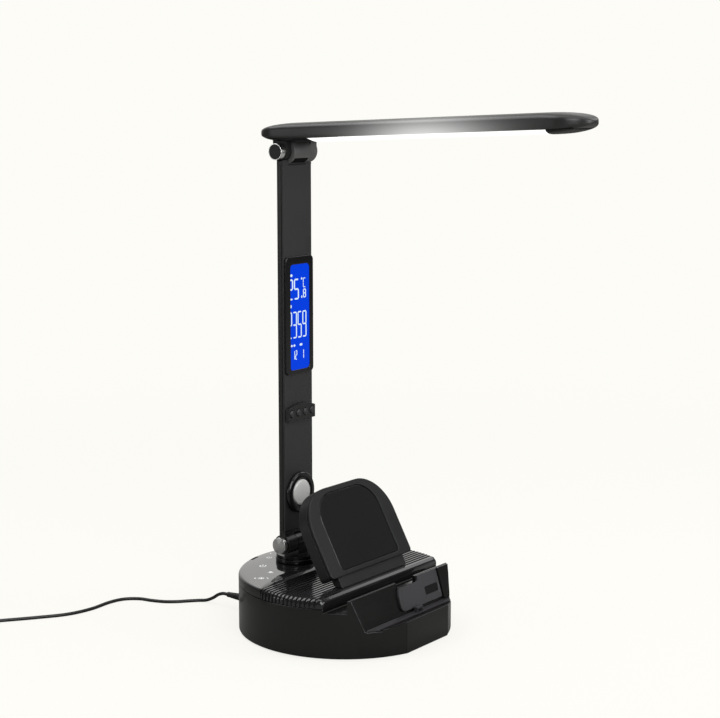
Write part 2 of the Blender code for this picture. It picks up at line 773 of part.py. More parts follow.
def make_stand():
    lean = empty("stand_lean", (0, -STAND_FOOT, BASE_HEIGHT), -STAND_LEAN)
    seam = STAND_FRAME_THICKNESS + GAP
    shell = prism("stand_shell", stand_outline(0.0), "Y", seam, STAND_THICKNESS, BLACK, lean)
    neck = [
        (-NECK_HALF, -STAND_THICKNESS),
        (NECK_HALF, -STAND_THICKNESS),
        (NECK_HALF, STAND_BORDER_LOW + STAND_LOW_CORNER),
        (-NECK_HALF, STAND_BORDER_LOW + STAND_LOW_CORNER),
    ]
    join(shell, prism("stand_neck", neck, "Y", seam, STAND_THICKNESS - STAND_WALL, parent=lean))
    below = box(
        "deck_below",
        (-BASE_RADIUS, -BASE_RADIUS, -BASE_HEIGHT),
        (BASE_RADIUS, BASE_RADIUS, BASE_HEIGHT + GAP),
    )
    pocket = prism(
        "stand_pocket",
        stand_outline(STAND_WALL, STAND_LOW_CORNER),
        "Y",
        seam - OVERRUN,
        STAND_THICKNESS - STAND_WALL,
        parent=lean,
    )
    cut(shell, below, pocket)

    frame = prism("stand_frame", stand_outline(0.0), "Y", 0.0, STAND_FRAME_THICKNESS, GREY, lean)
    window = rounded(
        -PLATE_HALF - GAP, PLATE_HALF + GAP, PLATE_LOW - GAP, PLATE_HIGH + GAP, STAND_LOW_CORNER, PLATE_CORNER
    )
    cut(frame, prism("stand_window", window, "Y", -OVERRUN, OVERRUN + STAND_FRAME_THICKNESS, parent=lean))
    plate = rounded(-PLATE_HALF, PLATE_HALF, PLATE_LOW, PLATE_HIGH, STAND_LOW_CORNER, PLATE_CORNER)
    prism("charging_plate", plate, "Y", STAND_FRAME_THICKNESS - PLATE_THICKNESS, STAND_FRAME_THICKNESS, GLOSS, lean)

    front = seam
    washer(
        "charging_coil",
        COIL_INNER,
        COIL_OUTER,
        front,
        front + COIL_THICKNESS,
        (0, 0, COIL_CENTRE),
        "Y",
        SMALL_STEPS,
        COPPER,
        lean,
    )
    front += COIL_THICKNESS + GAP
    box(
        "coil_shield",
        (-SHIELD_HALF, front, COIL_CENTRE - SHIELD_HALF),
        (SHIELD_HALF, front + SHIELD_THICKNESS, COIL_CENTRE + SHIELD_HALF),
        SATIN,
        lean,
    )


# Swivel and lower hinge
def make_swivel():
    top = BASE_HEIGHT + GAP
    washer(
        "swivel_ring",
        SPINDLE_RADIUS + GAP,
        SWIVEL_RADIUS,
        top,
        top + SWIVEL_RING_HEIGHT,
        (0, POST_Y, 0),
        steps=SMALL_STEPS * 2,
        look=BLACK,
    )
    low = top + SWIVEL_RING_HEIGHT + TURNTABLE_LIFT
    high = low + TURNTABLE_HEIGHT
    turntable = turned(
        "turntable",
        [(TURNTABLE_RADIUS, low), (TURNTABLE_RADIUS, high)],
        (0, POST_Y, 0),
        steps=SMALL_STEPS * 2,
        look=BLACK,
    )
    spindle_low = SEAM_HEIGHT - SPINDLE_REACH
    spindle = cylinder("spindle", SPINDLE_RADIUS, spindle_low, low + TURNTABLE_HEIGHT / 2, (0, POST_Y, 0))
    knuckle = cylinder("knuckle_round", LOWER_RADIUS, -KNUCKLE_HALF, KNUCKLE_HALF, (0, POST_Y, LOWER_AXIS_Z), "X")
    knuckle_foot = box(
        "knuckle_foot",
        (-KNUCKLE_HALF, POST_Y - LOWER_RADIUS + TURNTABLE_LIFT, high - TURNTABLE_HEIGHT / 2),
        (KNUCKLE_HALF, POST_Y + LOWER_RADIUS - TURNTABLE_LIFT, LOWER_AXIS_Z),
    )
    join(turntable, spindle, knuckle_foot, knuckle)
    pin_hole = cylinder(
        "turntable_pin_hole", LOWER_PIN_RADIUS + GAP, -POST_HALF, POST_HALF, (0, POST_Y, LOWER_AXIS_Z), "X"
    )
    wire_hole = cylinder(
        "wire_hole", SPINDLE_BORE, spindle_low - OVERRUN, BASE_HEIGHT, (0, POST_Y, 0), steps=SMALL_STEPS // 2
    )
    cut(turntable, pin_hole, wire_hole)
    nut_top = SEAM_HEIGHT - CEILING - GAP
    nut = cylinder(
        "spindle_nut", NUT_RADIUS, nut_top - NUT_HEIGHT, nut_top, (0, POST_Y, 0), steps=6, look=STEEL
    )
    cut(nut, cylinder("nut_bore", SPINDLE_RADIUS + GAP, 0, nut_top + OVERRUN, (0, POST_Y, 0)))


def hinge_ends(names, pin_radius, cap_radius, sides, parent, look):
    """A pin along X with a round cap on each end; a side is (sign, cheek's outer face, cap thickness)."""
    reaches = [sign * reach for sign, reach, _ in sides]
    cylinder(names[0], pin_radius, *reaches, (0, 0, 0), "X", SMALL_STEPS // 2, STEEL, parent)
    caps = []
    for name, (sign, reach, thickness) in zip(names[1:], sides):
        start = reach + GAP
        profile = rounded_cap(cap_radius, CAP_EDGE, start, start + thickness, 2)
        mirrored = [(radius, sign * height) for radius, height in profile]
        caps.append(turned(name, mirrored, (0, 0, 0), "X", SMALL_STEPS, look, parent))
    return caps


# Post
def post_outline(inset):
    """The post cut across, as (x, y) about its hinge line: flat front and rounded back corners."""
    half, back, corner = POST_HALF - inset, POST_BACK - inset, POST_CORNER - inset / 2
    front = FRONT_THICKNESS + GAP - POST_FRONT
    points = [(-half, front), (half, front)]
    points += arc((half - corner, back - corner), corner, 0, 90)
    return points + arc((corner - half, back - corner), corner, 90, 180)


def make_post(tilt):
    upper = POST_LENGTH
    shell = prism("post_shell", post_outline(0.0), "Z", 0, FRONT_HIGH, BLACK, tilt)
    centre = (0, 0, 0)
    ears = cylinder("ear_round", LOWER_RADIUS, -POST_HALF, POST_HALF, centre, "X", parent=tilt)
    filler = box(
        "ear_filler",
        (-POST_HALF, -POST_FRONT, 0),
        (POST_HALF, POST_BACK - POST_CORNER, FRONT_LOW),
        parent=tilt,
    )
    barrel = cylinder(
        "barrel_round", BARREL_RADIUS, -BARREL_HALF, BARREL_HALF, (0, 0, upper), "X", LARGE_STEPS // 2, parent=tilt
    )
    barrel_foot = box(
        "barrel_foot",
        (-BARREL_HALF, -POST_FRONT, FRONT_HIGH + GAP),
        (BARREL_HALF, POST_BACK, upper),
        parent=tilt,
    )
    neck = box(
        "barrel_neck",
        (-BARREL_HALF, FRONT_THICKNESS + GAP - POST_FRONT, FRONT_HIGH - POST_HALF),
        (BARREL_HALF, POST_BACK, upper),
        parent=tilt,
    )
    join(shell, ears, filler, neck, barrel_foot, barrel)

    inner = POST_HALF - POST_WALL
    pocket = box(
        "post_pocket",
        (-inner, -POST_FRONT, FRONT_LOW + POST_WALL),
        (inner, POST_BACK - POST_WALL, FRONT_HIGH - POST_HALF - OVERRUN),
        parent=tilt,
    )
    slot_half = KNUCKLE_HALF + EAR_GAP
    slot_top = LOWER_RADIUS + EAR_GAP
    knuckle_slot = box(
        "knuckle_slot",
        (-slot_half, -LOWER_RADIUS - OVERRUN, -LOWER_RADIUS - OVERRUN),
        (slot_half, LOWER_RADIUS + OVERRUN, slot_top),
        parent=tilt,
    )
    pin_hole = cylinder(
        "ear_pin_hole", LOWER_PIN_RADIUS + GAP, -POST_HALF - OVERRUN, POST_HALF + OVERRUN, centre, "X", parent=tilt
    )
    barrel_hole = cylinder(
        "barrel_pin_hole", UPPER_PIN_RADIUS + GAP, -POST_HALF, POST_HALF, (0, 0, upper), "X", parent=tilt
    )
    sensor = box(
        "sensor_slot",
        (-SENSOR_HALF, -BARREL_RADIUS - OVERRUN, upper - SENSOR_DROP),
        (SENSOR_HALF, SENSOR_DEPTH - BARREL_RADIUS, upper - SENSOR_DROP + SENSOR_HEIGHT),
        parent=tilt,
    )
    cut(shell, pocket, knuckle_slot, pin_hole, barrel_hole, sensor)

    low, high = FRONT_LOW + GAP, FRONT_HIGH
    outline = [(-POST_HALF, low), (POST_HALF, low), (POST_HALF, high), (-POST_HALF, high)]
    front = prism("post_front", outline, "Y", -POST_FRONT, FRONT_THICKNESS - POST_FRONT, BLACK, tilt)
    window = box(
        "clock_window",
        (-MODULE_HALF - GAP, -POST_FRONT - OVERRUN, LENS_LOW + MODULE_MARGIN - GAP),
        (MODULE_HALF + GAP, OVERRUN, LENS_HIGH - MODULE_MARGIN + GAP),
        parent=tilt,
    )
    cut(front, window)
    for number, x in enumerate(button_places(), 1):
        hole = cylinder(
            f"stem_hole_{number}",
            BUTTON_RADIUS / 2 + BUTTON_CLEARANCE,
            -POST_FRONT - OVERRUN,
            0,
            (x, 0, BUTTON_Z),
            "Y",
            SMALL_STEPS // 2,
            parent=tilt,
        )
        cut(front, hole)


def button_places():
    return [(i - (BUTTON_COUNT - 1) / 2) * BUTTON_PITCH for i in range(BUTTON_COUNT)]


def make_clock(tilt):
    face = -POST_FRONT - GAP
    outline = rounded(-LENS_HALF, LENS_HALF, LENS_LOW, LENS_HIGH, LENS_CORNER, LENS_CORNER)
    prism("clock_lens", outline, "Y", face - LENS_THICKNESS, face, GLOSS, tilt)
    back = MODULE_THICKNESS - POST_FRONT
    box(
        "clock_module",
        (-MODULE_HALF, -POST_FRONT, LENS_LOW + MODULE_MARGIN),
        (MODULE_HALF, back, LENS_HIGH - MODULE_MARGIN),
        BLUE,
        tilt,
    )
    back += GAP
    box(
        "clock_board",
        (-CLOCK_BOARD_HALF, back, CLOCK_BOARD_LOW),
        (CLOCK_BOARD_HALF, back + CLOCK_BOARD_THICKNESS, LENS_HIGH - MODULE_MARGIN),
        BOARD,
        tilt,
    )


def make_keypad(tilt):
    face = -POST_FRONT - GAP
    low, high = KEYPAD_LOW, KEYPAD_HIGH
    rise = KEYPAD_ARCH
    radius = (KEYPAD_HALF**2 + rise**2) / (2 * rise)
    half_angle = math.degrees(math.asin(KEYPAD_HALF / radius))
    top = arc((0, high - radius), radius, 90 - half_angle, 90 + half_angle, CORNER_STEPS * 2)
    outline = [(-KEYPAD_HALF, low), (KEYPAD_HALF, low)] + top
    pad = prism("keypad_bezel", outline, "Y", face - KEYPAD_THICKNESS, face, BLACK, tilt)
    for number, x in enumerate(button_places(), 1):
        place = (x, 0, BUTTON_Z)
        hole = cylinder(
            f"button_hole_{number}",
            BUTTON_RADIUS + BUTTON_CLEARANCE,
            face - KEYPAD_THICKNESS - OVERRUN,
            0,
            place,
            "Y",
            parent=tilt,
        )
        cut(pad, hole)
        front = face - KEYPAD_THICKNESS - BUTTON_PROUD
        shoulder = face - BUTTON_TRAVEL - BUTTON_CLEARANCE
        stem_end = FRONT_THICKNESS - POST_FRONT - BUTTON_TRAVEL
        profile = [
            (BUTTON_RADIUS - CAP_EDGE, front),
            (BUTTON_RADIUS, front + CAP_EDGE),
            (BUTTON_RADIUS, shoulder),
            (BUTTON_RADIUS / 2, shoulder),
            (BUTTON_RADIUS / 2, stem_end),
        ]
        turned(f"clock_button_{number}", profile, place, "Y", SMALL_STEPS // 2, SATIN, tilt)


def make_watch_charger(tilt):
    face = -POST_FRONT - GAP
    place = (0, 0, WATCH_Z)
    washer(
        "watch_ring",
        WATCH_BOWL_RADIUS,
        WATCH_RING_RADIUS,
        face - WATCH_RING_HEIGHT,
        face,
        place,
        "Y",
        SMALL_STEPS * 2,
        GLOSS,
        tilt,
    )
    profile = [(PUCK_RADIUS - CAP_EDGE, face - PUCK_HEIGHT), (PUCK_RADIUS, face - PUCK_HEIGHT + CAP_EDGE)]
    turned("watch_puck", profile + [(PUCK_RADIUS, face)], place, "Y", SMALL_STEPS * 2, SILVER, tilt)


# Head
def head_section(distance):
    """Half width and half height this far in from a tip: the width fills out sooner than the height."""
    across = 1 - min(distance / HEAD_END, 1)
    upright = 1 - min(distance / HEAD_TAPER, 1)
    return HEAD_HALF * math.sqrt(1 - across**2), HEAD_HALF_HEIGHT * math.sqrt(1 - upright**2)


def head_stations():
    """How far in from a tip each ring of vertices is."""
    turns = [math.pi / 2 * (i + 1) / END_RINGS for i in range(END_RINGS)]
    stations = [HEAD_END * (1 - math.cos(turn)) for turn in turns]
    for i in range(TAPER_RINGS):
        stations.append(HEAD_END + (HEAD_TAPER - HEAD_END) * (i + 1) / TAPER_RINGS)
    return stations


def head_solid(name, shrink, look=None, parent=None):
    """The whole outer form: a superellipse section with both ends rounded off."""
    bm = bmesh.new()
    back, front = HEAD_BACK_CENTRE + HEAD_END, -HEAD_FRONT_CENTRE - HEAD_END
    places = [(back - distance, distance) for distance in head_stations()]
    places += [(front + distance, distance) for distance in reversed(head_stations())]
    rings = []
    for y, distance in places:
        wide, tall = head_section(distance)
        wide, tall = wide * (1 - shrink / HEAD_HALF), tall * (1 - shrink / HEAD_HALF_HEIGHT)
        ring = []
        for i in range(RING_POINTS):
            angle = 2 * math.pi * (i + 0.5) / RING_POINTS
            c, s = math.cos(angle), math.sin(angle)
            x = wide * math.copysign(abs(c) ** (2 / HEAD_SQUARENESS), c)
            z = tall * math.copysign(abs(s) ** (2 / HEAD_SQUARENESS), s)
            ring.append(bm.verts.new((x, y, HEAD_MIDDLE + z)))
        rings.append(ring)
    stacked(bm, rings, False, False)
    for ring, y in ((rings[0], back), (rings[-1], front)):
        tip = bm.verts.new((0, y, HEAD_MIDDLE))
        for i in range(RING_POINTS):
            bm.faces.new((ring[i], ring[(i + 1) % RING_POINTS], tip))
    bmesh.ops.triangulate(bm, faces=bm.faces)
    return add_object(name, bm, look, parent)


def head_box(name, back, front, low, high, parent, half=HEAD_HALF + OVERRUN, look=None):
    """A box across the head, from back to front along its length."""
    return box(name, (-half, -front, low), (half, -back, high), look, parent)


def lower_span(name, back, front, tilt, above=0.0):
    """The space below the cover, from the back to a front face that slants forward as it drops."""
    drop = BRACKET_SLANT / (HEAD_SPLIT - DIFFUSER_LOW)
    high = HEAD_SPLIT + above
    outline = [(back, 0), (front - drop * HEAD_SPLIT, 0), (front + drop * above, high), (back, high)]
    reach = HEAD_HALF + OVERRUN
    return prism(name, outline, "X", -reach, reach, parent=tilt)


def make_head(tilt):
    back = -HEAD_BACK_CENTRE - HEAD_END - OVERRUN
    front = HEAD_FRONT_CENTRE + HEAD_END + OVERRUN
    top = HEAD_MIDDLE + HEAD_HALF_HEIGHT + OVERRUN
    cover = head_solid("head_cover", 0.0, BLACK, tilt)
    keep(cover, head_box("cover_part", back, front, HEAD_SPLIT + GAP, top, tilt))
    inside = head_solid("cover_hollow", HEAD_WALL, parent=tilt)
    keep(inside, head_box("hollow_part", GAP, HEAD_FRONT_CENTRE, 0, top, tilt))
    cut(cover, inside)

    bracket = head_solid("head_bracket", 0.0, BLACK, tilt)
    keep(bracket, lower_span("bracket_part", -back, -BRACKET_REACH, tilt))
    for side, sign, outer, radius in (("left", -1, FORK_LEFT, FORK_RADIUS), ("right", 1, FORK_RIGHT, DISC_RADIUS)):
        near, far = sorted((sign * (FORK_INNER - GAP), sign * outer))
        arm = box(
            f"fork_arm_{side}",
            (near, -radius + CAP_EDGE, 0),
            (far, radius - CAP_EDGE, HEAD_SPLIT - GAP),
            parent=tilt,
        )
        round_end = cylinder(f"fork_round_{side}", radius, near, far, (0, 0, 0), "X", parent=tilt)
        join(bracket, arm, round_end)
    swing = cylinder(
        "barrel_swing", BARREL_RADIUS + EAR_GAP, -FORK_INNER, FORK_INNER, (0, 0, 0), "X", LARGE_STEPS // 2, parent=tilt
    )
    pin_hole = cylinder(
        "fork_pin_hole", UPPER_PIN_RADIUS + GAP, -HEAD_HALF, HEAD_HALF, (0, 0, 0), "X", parent=tilt
    )
    cut(bracket, swing, pin_hole)

    tip = head_solid("head_tip", 0.0, BLACK, tilt)
    keep(tip, head_box("tip_part", DIFFUSER_END + GAP, front, 0, HEAD_SPLIT, tilt))

    outline = rounded(
        -DIFFUSER_HALF, DIFFUSER_HALF, DIFFUSER_LOW, HEAD_SPLIT, DIFFUSER_CORNER, DIFFUSER_EDGE, 3
    )
    diffuser = prism("diffuser", outline, "Y", -DIFFUSER_END, -BRACKET_REACH, WHITE, tilt)
    cut(diffuser, lower_span("bracket_room", -back, -BRACKET_REACH - 2 * GAP, tilt, OVERRUN))

    start, end = BRACKET_REACH + GUIDE_MARGIN, DIFFUSER_END - GUIDE_MARGIN
    low = HEAD_SPLIT + GAP
    high = low + GUIDE_THICKNESS
    head_box("light_guide", start, end, low, high, tilt, GUIDE_HALF, WHITE)
    low, high = high + GAP, high + GAP + REFLECTOR_THICKNESS
    head_box("reflector", start, end, low, high, tilt, GUIDE_HALF, WHITE)
    low, high = high + GAP, high + GAP + LED_THICKNESS
    head_box("led_board", start, end, low, high, tilt, GUIDE_HALF, STEEL)


def make_upper_hinge(tilt):
    names = ("upper_pin", "upper_knob_left", "upper_knob_right")
    sides = ((-1, FORK_LEFT, KNOB_THICKNESS), (1, FORK_RIGHT, CAP_THICKNESS))
    knobs = hinge_ends(names, UPPER_PIN_RADIUS, KNOB_RADIUS, sides, tilt, CHROME)
    for knob, side, (sign, reach, thickness) in zip(knobs, ("left", "right"), sides):
        start = reach + GAP + thickness
        low, high = sorted((sign * (start - KNOB_FACE_DEPTH), sign * (start + OVERRUN)))
        cut(knob, cylinder(f"knob_recess_{side}", KNOB_FACE_RADIUS, low, high, (0, 0, 0), "X", parent=tilt))
        low, high = sorted((sign * (start - KNOB_FACE_DEPTH + GAP), sign * (start + KNOB_FACE_PROUD)))
        outline = []
        for i in range(KNOB_TEETH * 2):
            radius = KNOB_FACE_RADIUS - GAP - KNOB_TOOTH * (i % 2)
            outline.append(polar(radius, i * 180 / KNOB_TEETH))
        prism(f"knob_face_{side}", outline, "X", low, high, BLACK, tilt)


# Power lead, as it lies on the floor behind and to the left of the base
ROUTE = [
    (-0.0140, 0.1080, 0.0096),
    (-0.0141, 0.1130, 0.0078),
    (-0.0144, 0.1180, 0.0045),
    (-0.0154, 0.1240, 0.0018),
    (-0.0190, 0.1300, 0.0013),
    (-0.0250, 0.1355, 0.0013),
    (-0.0312, 0.1410, 0.0013),
    (-0.0370, 0.1490, 0.0013),
    (-0.0405, 0.1590, 0.0013),
    (-0.0430, 0.1700, 0.0013),
    (-0.0510, 0.1790, 0.0013),
    (-0.0640, 0.1820, 0.0013),
    (-0.0846, 0.1812, 0.0013),
    (-0.1050, 0.1860, 0.0013),
    (-0.1250, 0.1990, 0.0013),
    (-0.1450, 0.2140, 0.0013),
    (-0.1630, 0.2270, 0.0013),
    (-0.1770, 0.2345, 0.0013),
]


def smooth_route(points, spacing):
    """Points at an even spacing on a Catmull-Rom curve through the given ones."""
    ends = [2 * points[0] - points[1], *points, 2 * points[-1] - points[-2]]
    fine = []
    steps = CORNER_STEPS * 4
    for a, b, c, d in zip(ends, ends[1:], ends[2:], ends[3:]):
        for i in range(steps):
            t = i / steps
            fine.append(
                0.5 * (2 * b + (c - a) * t + (2 * a - 5 * b + 4 * c - d) * t**2 + (3 * b - a - 3 * c + d) * t**3)
            )
    fine.append(points[-1])
    run = [0.0]
    for a, b in zip(fine, fine[1:]):
        run.append(run[-1] + (b - a).length)
    count = max(2, round(run[-1] / spacing))
    even, j = [], 0
    for i in range(count + 1):
        want = run[-1] * i / count
        while j < len(run) - 2 and run[j + 1] < want:
            j += 1
        span = run[j + 1] - run[j]
        even.append(fine[j].lerp(fine[j + 1], (want - run[j]) / span if span else 0.0))
    return even


def tube(name, points, diameter, resolution, look):
    """A round cord along the points, with flat ends."""
    curve = bpy.data.curves.new(name, "CURVE")
    curve.dimensions = "3D"
    curve.bevel_depth = diameter / 2
    curve.bevel_resolution = resolution
    curve.use_fill_caps = True
    spline = curve.splines.new("POLY")
    spline.points.add(len(points) - 1)
    for point, place in zip(spline.points, points):
        point.co = (*place, 1.0)
    curve.materials.append(material(name, *look))
    obj = bpy.data.objects.new(name, curve)
    bpy.context.collection.objects.link(obj)
    return obj


def coil_points():
    """Loops wound outwards and inwards in turn, one layer on another."""
    centre = Vector((COIL_X, COIL_Y, CORD_DIAMETER / 2))
    per_layer = LOOPS_PER_LAYER * LOOP_POINTS
    width = LOOP_SPACING * LOOPS_PER_LAYER
    inner = COIL_RADIUS - width / 2
    climb = LOOP_POINTS // 2
    points = []
    for i in range(COIL_LAYERS * per_layer + 1):
        layer, step = divmod(i, per_layer)
        if layer == COIL_LAYERS:
            layer, step = COIL_LAYERS - 1, per_layer
        share = step / per_layer
        inwards = layer % 2 == 0
        radius = inner + width * (1 - share if inwards else share)
        height = layer * LAYER_SPACING
        left = per_layer - step
        if layer < COIL_LAYERS - 1 and left < climb / 2:
            height += LAYER_SPACING * (0.5 - left / climb)
        if layer > 0 and step < climb / 2:
            height -= LAYER_SPACING * (0.5 - step / climb)
        angle = 2 * math.pi * i / LOOP_POINTS + math.pi / 2
        points.append(centre + Vector((radius * math.cos(angle), radius * math.sin(angle), height)))
    return points


def least_gap(points, diameter, skip):
    """The least clearance between stretches of one tube that lie at least skip points apart."""
    least = math.inf
    for i, a in enumerate(points[:-1]):
        for b, c in zip(points[i + skip :], points[i + skip + 1 :]):
            line = c - b
            t = max(0.0, min(1.0, (a - b).dot(line) / line.length_squared))
            least = min(least, (a - b - line * t).length)
    return least - diameter


def make_lead():
    face = BASE_RADIUS + JACK_PROUD + GAP
    end = face + PLUG_LENGTH
    profile = [
        (PLUG_TIP_RADIUS, face - PLUG_TIP_LENGTH),
        (PLUG_TIP_RADIUS, face),
        (PLUG_RADIUS, face),
        (PLUG_RADIUS, end - CAP_EDGE),
        (PLUG_RADIUS - CAP_EDGE, end),
    ]
    turned("power_plug", profile, (JACK_X, 0, JACK_Z), "Y", SMALL_STEPS // 2, BLACK)
    start = end + GAP
    finish = start + RELIEF_LENGTH
    profile = [(RELIEF_RADIUS, start), (RELIEF_END_RADIUS, finish)]
    turned("strain_relief", profile, (JACK_X, 0, JACK_Z), "Y", SMALL_STEPS // 2, RUBBER)

    points = [Vector((JACK_X, finish + GAP, JACK_Z))] + [Vector(place) for place in ROUTE]
    coil = coil_points()
    lead_in = (coil[0] - coil[1]).normalized()
    points.append(coil[0] + lead_in * (4 * CORD_DIAMETER))
    points.append(coil[0] + lead_in * (CORD_DIAMETER + 2 * GAP))
    return points, coil, lead_in


def make_cord():
    points, coil, lead_in = make_lead()
    route = smooth_route(points, CORD_DIAMETER * 2.6)
    tube("power_cord", route, CORD_DIAMETER, 2, RUBBER)
    wound = [coil[0] + lead_in * CORD_DIAMETER] + coil
    lead_out = (coil[-1] - coil[-2]).normalized()
    wound.append(coil[-1] + lead_out * COIL_TAIL)
    tube("cord_coil", wound, CORD_DIAMETER, 1, RUBBER)
    print("coil gap", round(least_gap(wound, CORD_DIAMETER, LOOP_POINTS // 3) * 1000, 3), "mm")
    length = sum((b - a).length for a, b in zip(route, route[1:]))
    coiled = sum((b - a).length for a, b in zip(wound, wound[1:]))
    print("cord length", round(length, 3), "+", round(coiled, 3), "m,", len(route), "route points")
    make_usb_plug(wound[-1] + lead_out * GAP)


def make_usb_plug(end):
    """The plug lies on the floor beside the coil, on from the cord's end and pointing along -X."""
    half, tall = USB_BODY_WIDTH / 2, USB_BODY_HEIGHT / 2
    corner = USB_BODY_CORNER
    outline = rounded(end.y - half, end.y + half, end.z - tall, end.z + tall, corner, corner, 3)
    front = end.x - USB_BODY_LENGTH
    prism("usb_plug_body", outline, "X", front, end.x, BLACK)
    half, tall = USB_SHELL_WIDTH / 2, USB_SHELL_HEIGHT / 2
    back = front - GAP
    shell = box(
        "usb_plug_shell",
        (back - USB_SHELL_LENGTH, end.y - half, end.z - tall),
        (back, end.y + half, end.z + tall),
        STEEL,
    )
    half -= USB_SHELL_WALL
    tall -= USB_SHELL_WALL
    mouth = box(
        "plug_mouth",
        (back - USB_SHELL_LENGTH - OVERRUN, end.y - half, end.z),
        (back - OVERRUN, end.y + half, end.z + tall),
    )
    cut(shell, mouth)


make_base_shell()
make_rib_deck()
make_touch_panel()
make_underside()
make_weight_and_board()
make_earbud_seat()
make_sockets()
make_stand()
make_swivel()

post_tilt = empty("post_tilt", (0, POST_Y, LOWER_AXIS_Z))
make_post(post_tilt)
make_clock(post_tilt)
make_keypad(post_tilt)
make_watch_charger(post_tilt)
hinge_ends(
    ("lower_pin", "lower_cap_left", "lower_cap_right"),
    LOWER_PIN_RADIUS,
    LOWER_CAP_RADIUS,
    ((-1, POST_HALF, LOWER_CAP_THICKNESS), (1, POST_HALF, LOWER_CAP_THICKNESS)),
    post_tilt,
    SILVER,
)

head_tilt = empty("head_tilt", (0, POST_Y, UPPER_AXIS_Z), -HEAD_TILT)
make_head(head_tilt)
make_upper_hinge(head_tilt)

make_cord()
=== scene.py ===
"""The looks of a black desk lamp: round base with a phone stand, a post with a clock, and a slim head.

Metres, +Z up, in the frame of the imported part: the base stands at the origin and its front is -Y.
"""

import json
import math

import bmesh
import bpy
import numpy as np
from mathutils import Matrix, Vector


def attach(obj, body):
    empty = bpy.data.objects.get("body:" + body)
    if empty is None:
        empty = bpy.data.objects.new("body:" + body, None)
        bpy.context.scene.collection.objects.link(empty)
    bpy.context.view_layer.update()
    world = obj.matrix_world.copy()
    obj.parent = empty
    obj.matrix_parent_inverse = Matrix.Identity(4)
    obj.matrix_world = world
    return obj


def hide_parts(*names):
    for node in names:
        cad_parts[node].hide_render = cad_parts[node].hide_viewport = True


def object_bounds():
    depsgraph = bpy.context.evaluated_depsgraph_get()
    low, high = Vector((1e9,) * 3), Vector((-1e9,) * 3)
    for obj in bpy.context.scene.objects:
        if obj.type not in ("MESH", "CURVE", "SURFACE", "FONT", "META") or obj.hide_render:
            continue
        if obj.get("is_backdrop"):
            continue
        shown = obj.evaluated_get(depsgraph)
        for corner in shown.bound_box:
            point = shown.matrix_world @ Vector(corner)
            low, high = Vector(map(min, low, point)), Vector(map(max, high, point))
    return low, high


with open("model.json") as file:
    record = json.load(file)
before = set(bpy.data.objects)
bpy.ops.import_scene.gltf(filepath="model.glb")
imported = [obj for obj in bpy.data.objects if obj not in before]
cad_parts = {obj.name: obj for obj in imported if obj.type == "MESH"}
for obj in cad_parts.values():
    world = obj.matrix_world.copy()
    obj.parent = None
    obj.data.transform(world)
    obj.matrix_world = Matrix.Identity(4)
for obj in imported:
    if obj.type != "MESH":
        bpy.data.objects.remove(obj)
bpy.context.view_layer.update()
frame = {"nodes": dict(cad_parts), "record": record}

# Camera: a long lens in front of the lamp and to its left, a little above the desk.
# Its place and turn come from the round base, the post and the head in the photograph.
CAMERA_AT = (-1.0037, -0.7553, 0.4024)
CAMERA_DROP, CAMERA_TURN = 9.04, -53.55
CAMERA_LENS = 87.135


def linked(name, data):
    """A new object in the scene that shows this data."""
    made = bpy.data.objects.new(name, data)
    bpy.context.scene.collection.objects.link(made)
    return made


lens = bpy.data.cameras.new("camera")
lens.sensor_width, lens.lens = 36.0, CAMERA_LENS
camera = linked("camera", lens)
camera.location = CAMERA_AT
camera.rotation_euler = (math.radians(90 - CAMERA_DROP), 0, math.radians(CAMERA_TURN))
bpy.context.scene.camera = camera
bpy.context.scene.view_settings.view_transform = "Standard"

# Room: a warm white floor that runs into a wall of the same white, as in a product studio.
# The wall behind the lamp is bright, and the room on the camera's side is dimmer.
PAPER = (0.982, 0.973, 0.930)
UNSEEN_FLOOR = (0.30, 0.297, 0.287)
SHADOW_SHARE, SHADOW_NEAR, SHADOW_FAR = 0.16, 0.25, 1.2
ROOM_BRIGHT, ROOM_DIM = 0.95, 0.10
WALL_WAY = (0.80, 0.59, 0.10)
FLOOR_HALF = 6.0


def feed(tree, socket, value):
    """The socket takes a value, an output, or the first output of a node. None leaves it as it is."""
    if isinstance(value, bpy.types.Node):
        value = value.outputs[0]
    if isinstance(value, bpy.types.NodeSocket):
        tree.links.new(value, socket)
    elif value is not None:
        socket.default_value = value


def node(tree, kind, *inputs, **options):
    """A shader node with its options set by name and its inputs fed in their order."""
    made = tree.nodes.new("ShaderNode" + kind)
    for option, value in options.items():
        setattr(made, option, value)
    for socket, value in zip(made.inputs, inputs):
        feed(tree, socket, value)
    return made


floor_mesh = bpy.data.meshes.new("floor")
corners = [(FLOOR_HALF * x, FLOOR_HALF * y, 0) for x, y in ((-1, -1), (1, -1), (1, 1), (-1, 1))]
floor_mesh.from_pydata(corners, [], [(0, 1, 2, 3)])
floor = linked("floor", floor_mesh)
floor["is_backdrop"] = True
paper = bpy.data.materials.new("studio paper")
paper.use_nodes = True
tree = paper.node_tree
tree.nodes.clear()
place = node(tree, "TexCoord").outputs["Object"]
span = node(tree, "VectorMath", place, operation="LENGTH").outputs["Value"]
near = node(tree, "MapRange", span, SHADOW_NEAR, SHADOW_FAR, SHADOW_SHARE, 0.0)
near.interpolation_type = "SMOOTHSTEP"
glow = node(tree, "Emission", (*PAPER, 1), 1.0)
shaded = node(tree, "BsdfDiffuse", (1.0, 0.99, 0.95, 1))
lying = node(tree, "MixShader", near, glow, shaded)
matte = node(tree, "BsdfDiffuse", (*UNSEEN_FLOOR, 1))
seen = node(tree, "LightPath").outputs["Is Camera Ray"]
node(tree, "OutputMaterial", node(tree, "MixShader", seen, matte, lying))
floor_mesh.materials.append(paper)

